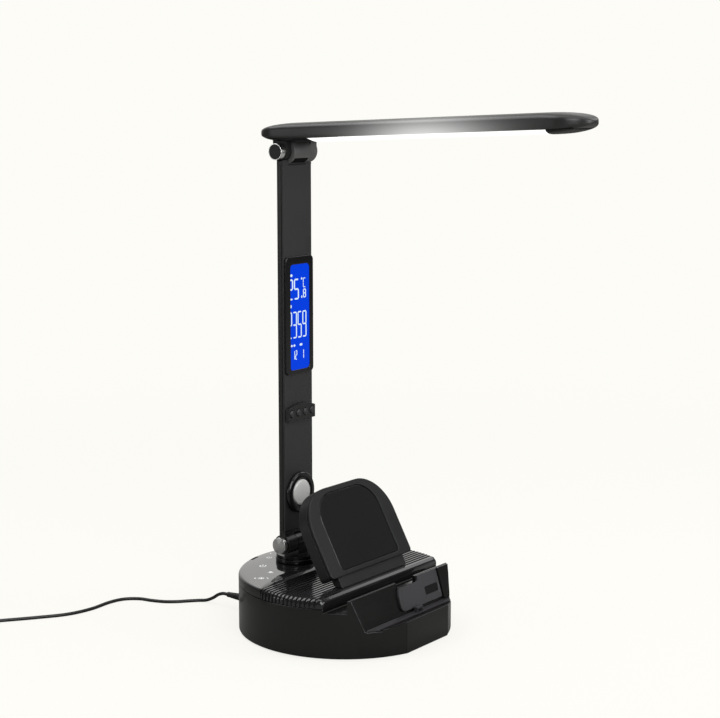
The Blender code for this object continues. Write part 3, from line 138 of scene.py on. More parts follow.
world = bpy.data.worlds.new("studio")
world.use_nodes = True
bpy.context.scene.world = world
tree = world.node_tree
tree.nodes.clear()
way = node(tree, "TexCoord").outputs["Generated"]
facing = node(tree, "VectorMath", way, WALL_WAY, operation="DOT_PRODUCT").outputs["Value"]
near = node(tree, "MapRange", facing, 0.40, 1.0, 0.0, 1.0)
rise = node(tree, "Math", near, 3.0, operation="POWER")
level = node(tree, "MapRange", rise, 0.0, 1.0, ROOM_DIM, ROOM_BRIGHT)
room = node(tree, "Background", (1.0, 0.99, 0.97, 1), level)
wall = node(tree, "Background", (*PAPER, 1), 1.0)
seen = node(tree, "LightPath").outputs["Is Camera Ray"]
node(tree, "OutputWorld", node(tree, "MixShader", seen, room, wall))

# Studio lights: soft boxes at the front left, overhead, at the front right and at the right, a long strip
# behind the lamp for the light edge along its head, and a small panel for the left edge of its base.
LIGHTS = [
    ("soft box left", (-1.10, -1.50, 1.25), (0.0, 0.0, 0.2), (1.4, 1.4), 24.0),
    ("soft box overhead", (0.2, -0.3, 1.9), (0.0, 0.0, 0.15), (1.6, 1.6), 11.0),
    ("soft box front", (0.75, -1.5, 0.75), (0.0, 0.0, 0.2), (0.6, 1.2), 9.0),
    ("soft box right", (1.2, -0.25, 0.95), (0.0, 0.0, 0.04), (0.5, 0.5), 1.3),
    ("strip behind", (-0.25, 0.80, 1.60), (0.0, -0.1, 0.35), (1.8, 0.9), 13.0),
    ("panel behind left", (-1.35, 1.05, 0.45), (0.0, 0.0, 0.2), (0.4, 0.7), 1.4),
]
for name, place, aim, size, power in LIGHTS:
    lamp = bpy.data.lights.new(name, "AREA")
    lamp.shape, lamp.size, lamp.size_y, lamp.energy = "RECTANGLE", size[0], size[1], power
    holder = linked(name, lamp)
    holder.location = place
    holder.rotation_euler = (Vector(aim) - Vector(place)).to_track_quat("-Z", "Y").to_euler()

# Power cord: thin round black PVC. It leaves the plug's relief behind the base and lies on the desk.
# What the photograph doesn't show is wound in a small coil of two layers, just out of view.
CORD_WIDTH = 0.0026
CORD_START = (-0.0140, 0.1033, 0.0098)
CORD_DROP = [(-0.0140, 0.1080, 0.0096), (-0.0141, 0.1130, 0.0078), (-0.0144, 0.1180, 0.0045)]
CORD_DROP.append((-0.0154, 0.1240, 0.0018))
CORD_LYING = [(-0.0190, 0.1300), (-0.0250, 0.1355), (-0.0312, 0.1410), (-0.0370, 0.1490), (-0.0405, 0.1590)]
CORD_LYING += [(-0.0430, 0.1700), (-0.0510, 0.1790), (-0.0640, 0.1820), (-0.0846, 0.1812), (-0.1050, 0.1860)]
CORD_LYING += [(-0.1250, 0.1990), (-0.1450, 0.2140), (-0.1630, 0.2270), (-0.1770, 0.2345)]
COIL_CENTRE = (-0.2000, 0.2140)
COIL_MIDDLE, COIL_TURNS, COIL_STEP, COIL_TAIL = 0.0155, 5, 0.00315, 0.0210


def xyz(x, y, z):
    """Points from their coordinates, each of them an array or one value for all."""
    return np.stack(np.broadcast_arrays(x, y, z), -1)


def unit(ways):
    """Vectors drawn out or in to a length of one."""
    return ways / np.linalg.norm(ways, axis=-1, keepdims=True)


def through(points, steps=8):
    """A smooth line through points. Between b and c, with neighbours a and d, it is the Catmull-Rom
    cubic (2b + (c-a)t + (2a-5b+4c-d)t2 + (3b-a-3c+d)t3) / 2, for t from 0 to 1."""
    p = np.asarray(points, float)
    p = np.vstack([2 * p[0] - p[1], p, 2 * p[-1] - p[-2]])
    a, b, c, d = (p[i : len(p) - 3 + i, None, :] for i in range(4))
    t = np.linspace(0, 1, steps, endpoint=False)[None, :, None]
    line = (2 * b + (c - a) * t + (2 * a - 5 * b + 4 * c - d) * t**2 + (3 * b - a - 3 * c + d) * t**3) / 2
    return np.vstack([line.reshape(-1, 3), p[-2]])


def coil_line(per_turn=36):
    """Two flat spirals, one on the other. The turn number u runs from 0 to twice the turns: the radius
    shrinks by one step a turn in the lower layer and grows again in the upper, and the height rises
    by one step over the half turn where the layers meet."""
    u = np.arange(2 * COIL_TURNS * per_turn + 1) / per_turn
    width = COIL_STEP * COIL_TURNS
    radius = COIL_MIDDLE - width / 2 + width * np.abs(1 - u / COIL_TURNS)
    height = CORD_WIDTH / 2 + COIL_STEP * np.clip((u - COIL_TURNS + 0.25) / 0.5, 0, 1)
    angle = 2 * np.pi * u + np.pi / 2
    return xyz(COIL_CENTRE[0] + radius * np.cos(angle), COIL_CENTRE[1] + radius * np.sin(angle), height)


coil = coil_line()
arrival = [coil[0] + unit(coil[0] - coil[1]) * far * CORD_WIDTH for far in (4, 1)]
lying = [(x, y, CORD_WIDTH / 2) for x, y in CORD_LYING]
laid = through([CORD_START, *CORD_DROP, *lying, *arrival])
cord_end = coil[-1] + unit(coil[-1] - coil[-2]) * COIL_TAIL
cord_line = np.vstack([laid, coil, cord_end])

cord_curve = bpy.data.curves.new("cord", "CURVE")
cord_curve.dimensions = "3D"
cord_curve.bevel_depth = CORD_WIDTH / 2
cord_curve.bevel_resolution = 3
cord_curve.use_fill_caps = True
spline = cord_curve.splines.new("POLY")
spline.points.add(len(cord_line) - 1)
spline.points.foreach_set("co", np.hstack([cord_line, np.ones((len(cord_line), 1))]).ravel())
cord = linked("cord", cord_curve)

# Base body: one black ABS moulding, round with a flat front, open on top for the phone and the earbuds.
# It is drawn as cross sections: at each y the half width follows the circle, and the top the profile.
RADIUS, FLAT, EDGE = 0.079, 0.075, 0.0006
TOP, SEAM, FOOT = 0.0436, 0.0368, 0.0008
CHANNEL_BACK, CHANNEL_FRONT, CHANNEL_FLOOR = -0.0340, -0.0485, 0.0340
CREST_FRONT, SLOPE_FOOT, LEDGE = -0.0505, -0.0580, 0.0200
LIP_BACK, LIP_LOW, LIP_HIGH = -0.0660, 0.0211, 0.0240
BODY_PROFILE = [(RADIUS, SEAM), (CHANNEL_BACK, SEAM), (CHANNEL_BACK, CHANNEL_FLOOR)]
BODY_PROFILE += [(CHANNEL_FRONT, CHANNEL_FLOOR), (CHANNEL_FRONT, TOP), (CREST_FRONT, TOP)]
BODY_PROFILE += [(SLOPE_FOOT, LEDGE), (LIP_BACK, LEDGE), (LIP_BACK, LIP_LOW), (-FLAT, LIP_HIGH)]
NOTCH_LEFT, NOTCH_RIGHT, NOTCH_FLOOR = -0.0060, 0.0180, 0.0396
RECESS_RADIUS, RECESS_FRONT, RECESS_ROOF = 0.0765, -0.0725, 0.0050
REAR_ROWS, REAR_STEP = 16, 1.5


def blend(tree, share, first, second):
    """A colour between two others, by the share of the second."""
    made = node(tree, "Mix", share, data_type="RGBA")
    made.inputs[6].default_value, made.inputs[7].default_value = (*first, 1), (*second, 1)
    return made.outputs[2]


def moulded(
    name, colour, roughness, grain=0.12, scale=1400.0, specular=0.5, metallic=0.0, coat=0.0, change=0.12
):
    """A finish with a fine bumpy grain, and colour and gloss that drift slowly over the surface. The colour
    is three numbers, or one for a grey."""
    made = bpy.data.materials.new(name)
    made.use_nodes = True
    tree = made.node_tree
    where = node(tree, "TexCoord").outputs["Object"]
    fine = node(tree, "TexNoise", where, None, scale, 3.0)
    slow = node(tree, "TexNoise", where, None, 22.0, 2.0)
    bump = node(tree, "Bump", grain, 0.0001)
    feed(tree, bump.inputs["Height"], fine)
    low, high = 1 - change, 1 + change
    dark, light = np.multiply(colour, low), np.minimum(np.multiply(colour, high), 1.0)
    shader = tree.nodes["Principled BSDF"]
    settings = {
        "Metallic": metallic,
        "Specular IOR Level": specular,
        "Coat Weight": coat,
        "Coat Roughness": 0.04,
        "Normal": bump,
        "Roughness": node(tree, "MapRange", slow, 0.3, 0.7, roughness * low, roughness * high),
        "Base Color": blend(tree, slow, np.broadcast_to(dark, 3), np.broadcast_to(light, 3)),
    }
    for setting, value in settings.items():
        feed(tree, shader.inputs[setting], value)
    return made


def bend(points, radius, steps=4):
    """An open line of points with each inner corner rounded by a quadratic curve that starts and ends
    at most a radius from the corner: (1-t)2 a + 2t(1-t) corner + t2 b."""
    p = np.asarray(points, float)
    back, ahead = p[:-2] - p[1:-1], p[2:] - p[1:-1]
    reach = np.minimum(*(np.linalg.norm(way, axis=1, keepdims=True) for way in (back, ahead)))
    cut = np.minimum(radius, reach * 0.45)
    a, b = p[1:-1] + unit(back) * cut, p[1:-1] + unit(ahead) * cut
    t = np.linspace(0, 1, steps + 1)[None, :, None]
    curve = (1 - t) ** 2 * a[:, None] + 2 * t * (1 - t) * p[1:-1, None] + t**2 * b[:, None]
    return np.vstack([p[:1], curve.reshape(-1, p.shape[1]), p[-1:]])


def densely(line, gap):
    """The same line with points added so that none of its steps is longer than the gap."""
    out = [line[:1]]
    for a, b in zip(line, line[1:]):
        count = max(1, math.ceil(float(np.linalg.norm(b - a)) / gap))
        out.append(a + (b - a) * np.linspace(0, 1, count + 1)[1:, None])
    return np.vstack(out)


def surface(name, points, faces, sharp=None):
    """A new piece with this closed surface. Its doubled points are merged and its faces turned outwards,
    and its edges are smooth up to the sharp angle, or all flat without one."""
    mesh = bpy.data.meshes.new(name)
    mesh.from_pydata(points, [], faces)
    bm = bmesh.new()
    bm.from_mesh(mesh)
    bmesh.ops.remove_doubles(bm, verts=bm.verts, dist=2e-6)
    bmesh.ops.dissolve_degenerate(bm, edges=bm.edges, dist=1e-6)
    bmesh.ops.recalc_face_normals(bm, faces=bm.faces)
    bm.to_mesh(mesh)
    bm.free()
    if sharp:
        mesh.shade_smooth()
        mesh.set_sharp_from_angle(angle=math.radians(sharp))
    return linked(name, mesh)


def shell(rings, ends=True, first=0):
    """Points and faces of a closed surface: point j of ring i joins point j+1 and the same two points of
    ring i+1, and a flat face closes each end. The first point has this number."""
    rings = np.asarray(rings, float)
    m, n = rings.shape[:2]
    index = first + np.arange(m * n).reshape(m, n)
    low, high = index[:-1], index[1:]
    quads = np.stack([low, np.roll(low, -1, 1), np.roll(high, -1, 1), high], -1).reshape(-1, 4).tolist()
    if ends:
        caps = [index[0][::-1].tolist(), index[-1].tolist()]
    else:
        low, high = index[-1], index[0]
        caps = np.stack([low, np.roll(low, -1), np.roll(high, -1), high], -1).tolist()
    return rings.reshape(-1, 3).tolist(), quads + caps


def skin(name, rings, sharp=30, ends=True):
    """A new piece with the closed surface through these rings."""
    return surface(name, *shell(rings, ends), sharp)


HOME = {name: body for body, names in frame["record"]["behaviour"]["bodies"].items() for name in names}


def added(piece, finish, body):
    """The piece wears the finish and rides with the body."""
    piece.data.materials.clear()
    piece.data.materials.append(finish)
    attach(piece, body)


def stand_for(piece, finish, name):
    """The piece rides with the body of a CAD node and is shown in its place."""
    added(piece, finish, HOME[name])
    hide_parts(name)
    return piece


def corner(radius, count=9):
    """A rounded edge, in steps over a quarter circle: how far each is in from the side, radius *
    (1 - cos a), and how far below the top, radius * (1 - sin a)."""
    a = np.radians(np.linspace(0, 90, count))
    return radius * (1 - np.cos(a)), radius * (1 - np.sin(a))


def half_width(y, radius=RADIUS):
    """Half the width of a circle at y, or 0 beyond it."""
    return np.sqrt(np.maximum(radius**2 - y**2, 0.0))


def column(x, z):
    """One point on each cross section of the base, or of its deck: x and z along the rows of y."""
    return xyz(x, rows_y, z)


def mirrored(columns):
    """The same columns on the left side."""
    return [c * np.array([-1, 1, 1]) for c in columns]


body_line = densely(bend(BODY_PROFILE, EDGE), 0.0030)
rear_y = RADIUS * np.cos(np.radians(REAR_STEP * np.arange(REAR_ROWS)))
rear = np.stack([rear_y, np.full(REAR_ROWS, SEAM)], 1)
body_line = np.vstack([rear, body_line[body_line[:, 0] < rear[-1, 0]]])
insets, drops = corner(EDGE, 5)
inset = np.hstack([np.zeros(len(body_line) - 1), insets])
rows_y = np.hstack([body_line[:-1, 0], -FLAT + drops])
rows_z = np.hstack([body_line[:-1, 1], np.full(5, body_line[-1, 1])]) - inset
half = np.maximum(half_width(np.hstack([body_line[:-1, 0], np.full(5, EDGE - FLAT)])) - inset, 0)
notch_sides = [NOTCH_LEFT, NOTCH_LEFT + 2e-5, NOTCH_RIGHT - 2e-5, NOTCH_RIGHT]
across = np.unique(np.hstack([np.linspace(-RADIUS, RADIUS, 41), notch_sides]))
under = (rows_y < RECESS_RADIUS) & (rows_y > RECESS_FRONT)
inner = np.minimum(np.where(under, half_width(rows_y, RECESS_RADIUS), 0.0), half * 0.97)
level = FOOT + inset
roof = np.where(inner > 0, RECESS_ROOF, level)
side = []
for up, over in ((0.0, 0.0012), (0.0004, 0.0005), (0.0012, 0.0)):
    side.append(column(np.maximum(half - over, 0), level + up))
for over, down in zip(insets, drops):
    side.append(column(np.maximum(half - over, 0), rows_z - down))
top = []
bound = np.maximum(half - EDGE, 0)
for x in across[::-1]:
    cut = NOTCH_FLOOR if NOTCH_LEFT < x < NOTCH_RIGHT else 1.0
    top.append(column(np.clip(x, -bound, bound), np.minimum(rows_z, cut)))
right = [column(0, roof), column(inner, roof), column(inner, level), *side]
loops = np.stack([*right, *top, *mirrored(right[:0:-1])], 1)
base_finish = moulded("black ABS", (0.0060, 0.0060, 0.0057), 0.20, grain=0.03)
stand_for(skin("base_body", loops, 24), base_finish, "base_shell")

# Underside: a plate of the same plastic held by four screws, with a round rubber pad that grips the desk.
# They are seen only from below, so they keep the shapes of the CAD nodes.
def wear(finish, *names):
    """The named CAD nodes stay as they are and get this finish."""
    for name in names:
        mesh = frame["nodes"][name].data
        mesh.materials.clear()
        mesh.materials.append(finish)


satin_finish = moulded("satin black ABS", 0.022, 0.5, grain=0.2)
rubber_finish = moulded("grip rubber", 0.012, 0.85, grain=0.5, scale=700.0)
screw_finish = moulded("zinc screw", (0.55, 0.55, 0.56), 0.35, metallic=1.0)
wear(satin_finish, "bottom_cover")
wear(rubber_finish, "grip_pad")
wear(screw_finish, *(f"cover_screw_{n}" for n in range(1, 5)))

# Rib deck: a glossy black moulding around the stand's foot, with fine grooves across its whole width
# that run down both rounded sides, and a plain chamfered strip at the phone channel.
DECK_BACK, DECK_FRONT, DECK_LOW = 0.0179, CHANNEL_BACK, 0.0371
DECK_ROUND, DECK_SOFT, CHAMFER = 0.0040, 0.0003, 0.0020
RIB_FIRST, RIB_PITCH, RIB_SLOT, RIB_DEPTH, RIB_COUNT = 0.0163, 0.0034, 0.0016, 0.0009, 14
RIB_SLOPE = 0.0005


def groove(y):
    """Depth of the grooves at y: a flat bottomed dip with sloping sides, repeated at the pitch."""
    place = (RIB_FIRST - y) / RIB_PITCH
    off = np.abs((place % 1.0) * RIB_PITCH - RIB_SLOT / 2)
    dip = np.clip((RIB_SLOT / 2 + RIB_SLOPE / 2 - off) / RIB_SLOPE, 0, 1)
    return RIB_DEPTH * dip * ((place > -0.1) & (place < RIB_COUNT))


rows_y = np.unique(np.hstack([np.arange(DECK_FRONT, DECK_BACK, 0.0002), [DECK_FRONT, DECK_BACK]]))[::-1]
from_end = np.minimum(DECK_BACK - rows_y, rows_y - DECK_FRONT)
drop = np.clip(DECK_FRONT + CHAMFER - rows_y, 0, CHAMFER)
depth = groove(rows_y) + DECK_SOFT * np.clip(1 - from_end / DECK_SOFT, 0, 1)
wide = half_width(rows_y) - depth
tall = TOP - depth - drop
reach = DECK_ROUND - drop * 0.5
loop = [column(0, DECK_LOW), column(wide, DECK_LOW)]
loop += [column(wide - reach * over, tall - reach * down) for over, down in zip(*corner(1))]
loop += [column((wide - reach) * s, tall) for s in np.linspace(0.9, -0.9, 13)]
loop += mirrored(loop[10:0:-1])
deck_finish = moulded("gloss black rib deck", (0.012, 0.012, 0.013), 0.13, 0.02, specular=0.6, coat=0.25)
stand_for(skin("ribbed_deck", np.stack(loop, 1), 30), deck_finish, "rib_deck")

# Touch panel: a glossy black half disc at the back of the base, with a rounded rim and white touch marks.
# Its upright faces wear the plainer black of the base.
PANEL_FRONT, PANEL_ROUND = 0.0182, 0.0020
start = math.asin(PANEL_FRONT / RADIUS) + 0.002
theta = np.linspace(start, math.pi - start, 121)


def rim(radius, z):
    """An arc about the base's axis at the angles theta, cut off at the panel's straight front."""
    return xyz(radius * np.cos(theta), np.maximum(radius * np.sin(theta), PANEL_FRONT), z)


def front_edge(back, z):
    """The panel's straight front edge: a point for each point of the rim, this far back."""
    return xyz(RADIUS * np.cos(theta), PANEL_FRONT + back, z)


loop = [front_edge(0, DECK_LOW), front_edge(0, TOP - 0.0003), front_edge(0.0001, TOP - 0.0001)]
loop.append(front_edge(0.0003, TOP))
inner_rim = rim(RADIUS - PANEL_ROUND, TOP)
loop += [loop[3] + (inner_rim - loop[3]) * s for s in (0.25, 0.5, 0.75)]
loop += [rim(RADIUS - over, TOP - down) for down, over in zip(*corner(PANEL_ROUND))]
loop.append(rim(RADIUS, DECK_LOW))
panel_finish = moulded("gloss black touch panel", (0.014, 0.014, 0.015), 0.07, 0.0, specular=0.6, coat=0.6)
touch_plate = stand_for(skin("touch_plate", np.stack(loop, 1), 30), panel_finish, "touch_panel")
touch_plate.data.materials.append(base_finish)
normals = np.empty(len(touch_plate.data.polygons) * 3)
touch_plate.data.polygons.foreach_get("normal", normals)
upright = np.abs(normals[2::3]) < 0.35
touch_plate.data.polygons.foreach_set("material_index", upright.astype(np.int32))

# Cover over the charging outlet: a matt black strip let into the panel's rear rim, above the outlet.
# It follows the rim's arc, bends down over its rounded edge and stands a hair proud of it.
RIM_LEFT, RIM_RIGHT, RIM_PROUD = -0.0200, -0.0108, 0.00008
STRIP_DEEP, STRIP_THICK = 0.0034, 0.0006
theta = np.linspace(math.acos(RIM_RIGHT / RADIUS), math.acos(RIM_LEFT / RADIUS), 9)
outside, over_top = RADIUS + RIM_PROUD, TOP + RIM_PROUD
loop = [rim(RADIUS - STRIP_DEEP, over_top)]
loop += [rim(outside - over, over_top - down) for down, over in zip(*corner(PANEL_ROUND + RIM_PROUD))]
loop += [rim(outside, SEAM + STRIP_THICK), rim(RADIUS - STRIP_THICK, SEAM + STRIP_THICK)]
loop.append(rim(RADIUS - STRIP_DEEP, TOP - STRIP_THICK))
rim_finish = moulded("matt black strip", 0.004, 0.6, grain=0.1, specular=0.2)
added(skin("rim_strip", np.stack(loop, 1), 40), rim_finish, "base")

# Touch marks: white ink printed on the panel, turned towards whoever sits at the front left. They are
# flat outlines laid on it, a little proud, and they glow faintly, as backlit marks do.
PRINT_RISE = 0.00008
MARK_TURN = math.radians(-53.55)


def lit(name, colour, strength, body, roughness=0.25, specular=0.5, change=0.06):
    """A backlit surface: it glows evenly over a body colour that shows when its light is off."""
    made = moulded(name, body, roughness, grain=0.0, change=change, specular=specular)
    settings = made.node_tree.nodes["Principled BSDF"].inputs
    settings["Emission Color"].default_value = (*colour, 1)
    settings["Emission Strength"].default_value = strength
    return made


def stroke(points, width):
    """A flat strip along a line: each point moves half the width to either side, square to the line."""
    p = np.asarray(points, float)
    off = unit(np.gradient(p, axis=0))[:, ::-1] * (-width / 2, width / 2)
    return np.vstack([p + off, (p - off)[::-1]])


def sweep(cx, cy, radius, first, last, steps=20):
    """Points of an arc about a centre, from one angle in degrees to another."""
    t = np.radians(np.linspace(first, last, steps + 1))
    return np.stack([cx + radius * np.cos(t), cy + radius * np.sin(t)], 1)


def placed(points, matrix):
    """The points moved by a matrix."""
    return points @ np.array(matrix.to_3x3()).T + np.array(matrix.translation)


def decal(name, shapes, thickness, place):
    """Thin flat plates, one for each outline. They are drawn on the xy plane and moved by a matrix."""
    points, faces = [], []
    for shape in shapes:
        rings = [placed(xyz(shape[:, 0], shape[:, 1], z), place) for z in (0.0, thickness)]
        more, joined = shell(rings, first=len(points))
        points += more
        faces += joined
    return surface(name, points, faces)


def disc(radius, count=12):
    """A round outline about the origin."""
    return sweep(0, 0, radius, 0, 345, count)


chevrons = [stroke([(s * 0.0040, 0.0014), (s * 0.0052, 0), (s * 0.0040, -0.0014)], 0.0006) for s in (-1, 1)]
ray_ends = zip(sweep(0, 0, 0.0015, 0, 315, 7), sweep(0, 0, 0.0024, 0, 315, 7))
brightness = [disc(0.0011), *(stroke(ends, 0.0005) for ends in ray_ends), *chevrons]
bulb = [stroke(sweep(0, 0, 0.0024, 120, 420, 24), 0.0006), stroke([(0, 0.0006), (0, 0.0032)], 0.0007)]
mode = [disc(0.0012), stroke([(-0.0022, -0.0022), (0.0022, -0.0022)], 0.0006)]
alarm = [stroke(sweep(0, 0, 0.0019, 0, 340, 24), 0.0005), stroke([(0, 0.0012), (0, 0), (0.0010, 0)], 0.0004)]
MARKS = [
    ("brightness", (-0.0540, 0.0360), brightness),
    ("lamp", (-0.0280, 0.0560), bulb),
    ("mode", (-0.0370, 0.0410), mode),
    ("alarm", (-0.0070, 0.0670), alarm),
    ("dot", (0.0030, 0.0740), [disc(0.0007)]),
]
white_finish = lit("white print", (0.9, 0.92, 0.9), 0.3, (0.90, 0.91, 0.90), 0.55, 0.2, change=0.12)
for name, (x, y), shapes in MARKS:
    place = Matrix.Translation((x, y, TOP)) @ Matrix.Rotation(MARK_TURN, 4, "Z")
    added(decal(f"mark_{name}", shapes, PRINT_RISE, place), white_finish, "base")

# Earbud seat: a grey satin plate on the sloping wall, with a pocket for the charging port, an end block,
# a strip along the ledge and a small contact that stands on it. A thin black plate in the shallow pocket is
# painted shade.
POCKET_X, POCKET_Z = (0.0238, 0.0398, 0.0398, 0.0238), (0.0088, 0.0088, 0.0146, 0.0146)
SHADE_BACK, SHADE_FRONT = -0.0015, -0.0011
SLOPE_LEAN = math.atan2(CREST_FRONT - SLOPE_FOOT, TOP - LEDGE)
SLOPE = Matrix.Translation((0, SLOPE_FOOT, LEDGE)) @ Matrix.Rotation(-SLOPE_LEAN, 4, "X")


def softened(name, source, finish, edge, sharp=30, segments=2):
    """A copy of a CAD node, shown in its place. Its loose corners are merged and its flat triangles
    joined, and a narrow bevel rounds the edges sharper than the limit, as a mould does."""
    mesh = frame["nodes"][source].data.copy()
    mesh.name = name
    bm = bmesh.new()
    bm.from_mesh(mesh)
    bmesh.ops.remove_doubles(bm, verts=bm.verts, dist=2e-6)
    bmesh.ops.dissolve_limit(bm, angle_limit=math.radians(0.6), verts=bm.verts, edges=bm.edges)
    bm.to_mesh(mesh)
    bm.free()
    mesh.shade_smooth()
    mesh.set_sharp_from_angle(angle=math.radians(sharp))
    made = linked(name, mesh)
    if edge:
        rounding = made.modifiers.new("soft edges", "BEVEL")
        rounding.width, rounding.segments = edge, segments
        rounding.limit_method, rounding.angle_limit = "ANGLE", math.radians(sharp)
        rounding.harden_normals = True
    return stand_for(made, finish, source)


def facing_front(outline, depth, matrix):
    """Outline points (x, z) at a depth y, moved by the matrix."""
    return placed(xyz(outline[:, 0], depth, outline[:, 1]), matrix)


grey_finish = moulded("grey satin ABS", (0.036, 0.034, 0.038), 0.42, grain=0.1)
softened("earbud_plate", "earbud_seat", grey_finish, 0.0003)
softened("end_block", "seat_stop", base_finish, 0.0003)
pocket = np.array([POCKET_X, POCKET_Z]).T
# Painted shade: a thin black plate across the shallow pocket, darker than its little depth would make it.
pocket_shade = skin("pocket_shade", [facing_front(pocket, depth, SLOPE) for depth in (SHADE_BACK, SHADE_FRONT)])
added(pocket_shade, rim_finish, "base")
softened("ledge_trim", "ledge_strip", grey_finish, 0.0002)
softened("contact_block", "earbud_contact", grey_finish, 0.0002)

# Rear sockets: a round power inlet low in the wall, and a charging outlet above it in a black frame.
# Both are nylon mouldings pressed into the base from inside.
socket_finish = moulded("black nylon", 0.015, 0.45)
softened("inlet", "power_jack", socket_finish, 0.0)
softened("outlet_frame", "usb_port", socket_finish, 0.0003)

# Phone stand: a rounded tray leaning back on the deck. Its rear shell is satin black, a black frame runs
# round the front, and a glossy plate covers the charging coil.
LEAN = math.radians(28.7)
STAND = Matrix.Translation((0.0, -0.0310, TOP)) @ Matrix.Rotation(-LEAN, 4, "X")
STAND_HALF, STAND_LOW, STAND_TOP = 0.0495, 0.0096, 0.0745
WINDOW_HALF, WINDOW_LOW, WINDOW_TOP = 0.0353, 0.0132, 0.0703
STAND_CORNERS, WINDOW_CORNERS = (0.003, 0.003, 0.030, 0.030), (0.003, 0.003, 0.020, 0.020)
FRAME_THICK, PLATE_SUNK, PLATE_GAP = 0.0024, 0.0006, 0.0003


def rounded(left, right, low, high, corners, steps=14):
    """A rectangle with rounded corners, as quarter circles joined in turn, from the lower left one round.
    Corners is their radius, or four of them."""
    a, b, c, d = np.broadcast_to(corners, 4)
    lower = [sweep(left + a, low + a, a, 180, 270, steps), sweep(right - b, low + b, b, 270, 360, steps)]
    upper = [sweep(right - c, high - c, c, 0, 90, steps), sweep(left + d, high - d, d, 90, 180, steps)]
    return np.vstack([*lower, *upper])


def shrunk(outline, by):
    """The outline moved in by a distance, square to itself."""
    way = unit(np.roll(outline, -1, 0) - np.roll(outline, 1, 0))
    return outline + way[:, ::-1] * (-by, by)


def plate(name, outline, front, back, edge, matrix=Matrix(), sharp=30, hole=None):
    """A flat plate with rounded edges: rings go from the front face over a quarter circle to the side, and
    round again to the back. With a hole the rings close on themselves through it. The shading normals are
    averages of the faces' normals weighted by area, so that the flat faces look flat."""
    turn = list(zip(*corner(edge, 5)))
    steps = [(inset, front + deep) for deep, inset in turn]
    steps += [(inset, back - deep) for deep, inset in turn[::-1]]
    rings = [facing_front(shrunk(outline, inset), depth, matrix) for inset, depth in steps]
    if hole is not None:
        rings += [facing_front(shrunk(hole, -inset), depth, matrix) for inset, depth in reversed(steps)]
    made = skin(name, rings, sharp, ends=hole is None)
    level = made.modifiers.new("flat faces", "WEIGHTED_NORMAL")
    level.keep_sharp = True
    return made


stand_edge = rounded(-STAND_HALF, STAND_HALF, STAND_LOW, STAND_TOP, STAND_CORNERS)
window = rounded(-WINDOW_HALF, WINDOW_HALF, WINDOW_LOW, WINDOW_TOP, WINDOW_CORNERS)
frame_finish = moulded("stand frame", (0.0085, 0.0083, 0.0088), 0.44, grain=0.08, specular=0.4)
tray_frame = plate("tray_frame", stand_edge, 0.0, FRAME_THICK, 0.0007, STAND, hole=window)
stand_for(tray_frame, frame_finish, "stand_frame")
glass_finish = moulded("gloss black plate", (0.010, 0.010, 0.011), 0.08, 0.0, specular=0.6, coat=0.5)
plate_half, plate_low, plate_top = WINDOW_HALF - PLATE_GAP, WINDOW_LOW + PLATE_GAP, WINDOW_TOP - PLATE_GAP
plate_edge = rounded(-plate_half, plate_half, plate_low, plate_top, WINDOW_CORNERS)
tray_plate = plate("tray_plate", plate_edge, PLATE_SUNK, FRAME_THICK, 0.0003, STAND)
stand_for(tray_plate, glass_finish, "charging_plate")
stand_finish = moulded("satin black stand", (0.007, 0.007, 0.0072), 0.42, grain=0.08)
softened("tray_shell", "stand_shell", stand_finish, 0.0009, 40, 3)

# Charging coil and its shield: lacquered copper on a grey ferrite sheet, glued behind the plate.
# They are hidden, so they keep the shapes of the CAD nodes.
copper_finish = moulded("lacquered copper", (0.70, 0.33, 0.18), 0.35, metallic=1.0)
wear(copper_finish, "charging_coil")
wear(satin_finish, "coil_shield")

# Swivel and lower hinge: a black ring on the panel, a turntable with a knuckle, a steel pin
# and brushed aluminium caps at both ends.
POST_Y, LOWER_Z = 0.0465, 0.0589
COLLAR_BORE, COLLAR_RADIUS, COLLAR_LOW, COLLAR_HIGH = 0.0063, 0.0153, 0.0439, 0.0471
CAP_RADIUS, CAP_NEAR, CAP_FAR = 0.0062, 0.0169, 0.0205


def turned(name, profile, centre, axis, steps=72, edge=0.0003, sharp=30):
    """A line of (radius, height) points with rounded corners, spun about an axis through the centre."""
    line = bend(profile, edge, 3)
    t = np.linspace(0, 2 * np.pi, steps, endpoint=False)
    a, b, c = line[:, :1] * np.cos(t), line[:, :1] * np.sin(t), line[:, 1:]
    order = {"X": (c, a, b), "Y": (a, c, b), "Z": (a, b, c)}[axis]
    return skin(name, xyz(*order) + centre, sharp)


def drum(radius, low, high):
    """The profile of a plain drum, from its axis round to its axis again."""
    return [(1e-5, low), (radius, low), (radius, high), (1e-5, high)]


hub_finish = moulded("hinge black", (0.010, 0.010, 0.0103), 0.26, grain=0.05)
collar_line = [(COLLAR_BORE, COLLAR_LOW), (COLLAR_RADIUS, COLLAR_LOW), (COLLAR_RADIUS, COLLAR_HIGH)]
collar_line = [(COLLAR_BORE, 0.0450), *collar_line, (COLLAR_BORE, COLLAR_HIGH), (COLLAR_BORE, 0.0450)]
collar = turned("swivel_collar", collar_line, (0, POST_Y, 0), "Z", edge=0.0006)
stand_for(collar, hub_finish, "swivel_ring")
softened("turntable_hub", "turntable", hub_finish, 0.0004)
steel_finish = moulded("steel pin", (0.55, 0.55, 0.56), 0.30, metallic=1.0)
wear(steel_finish, "lower_pin", "upper_pin", "spindle_nut")

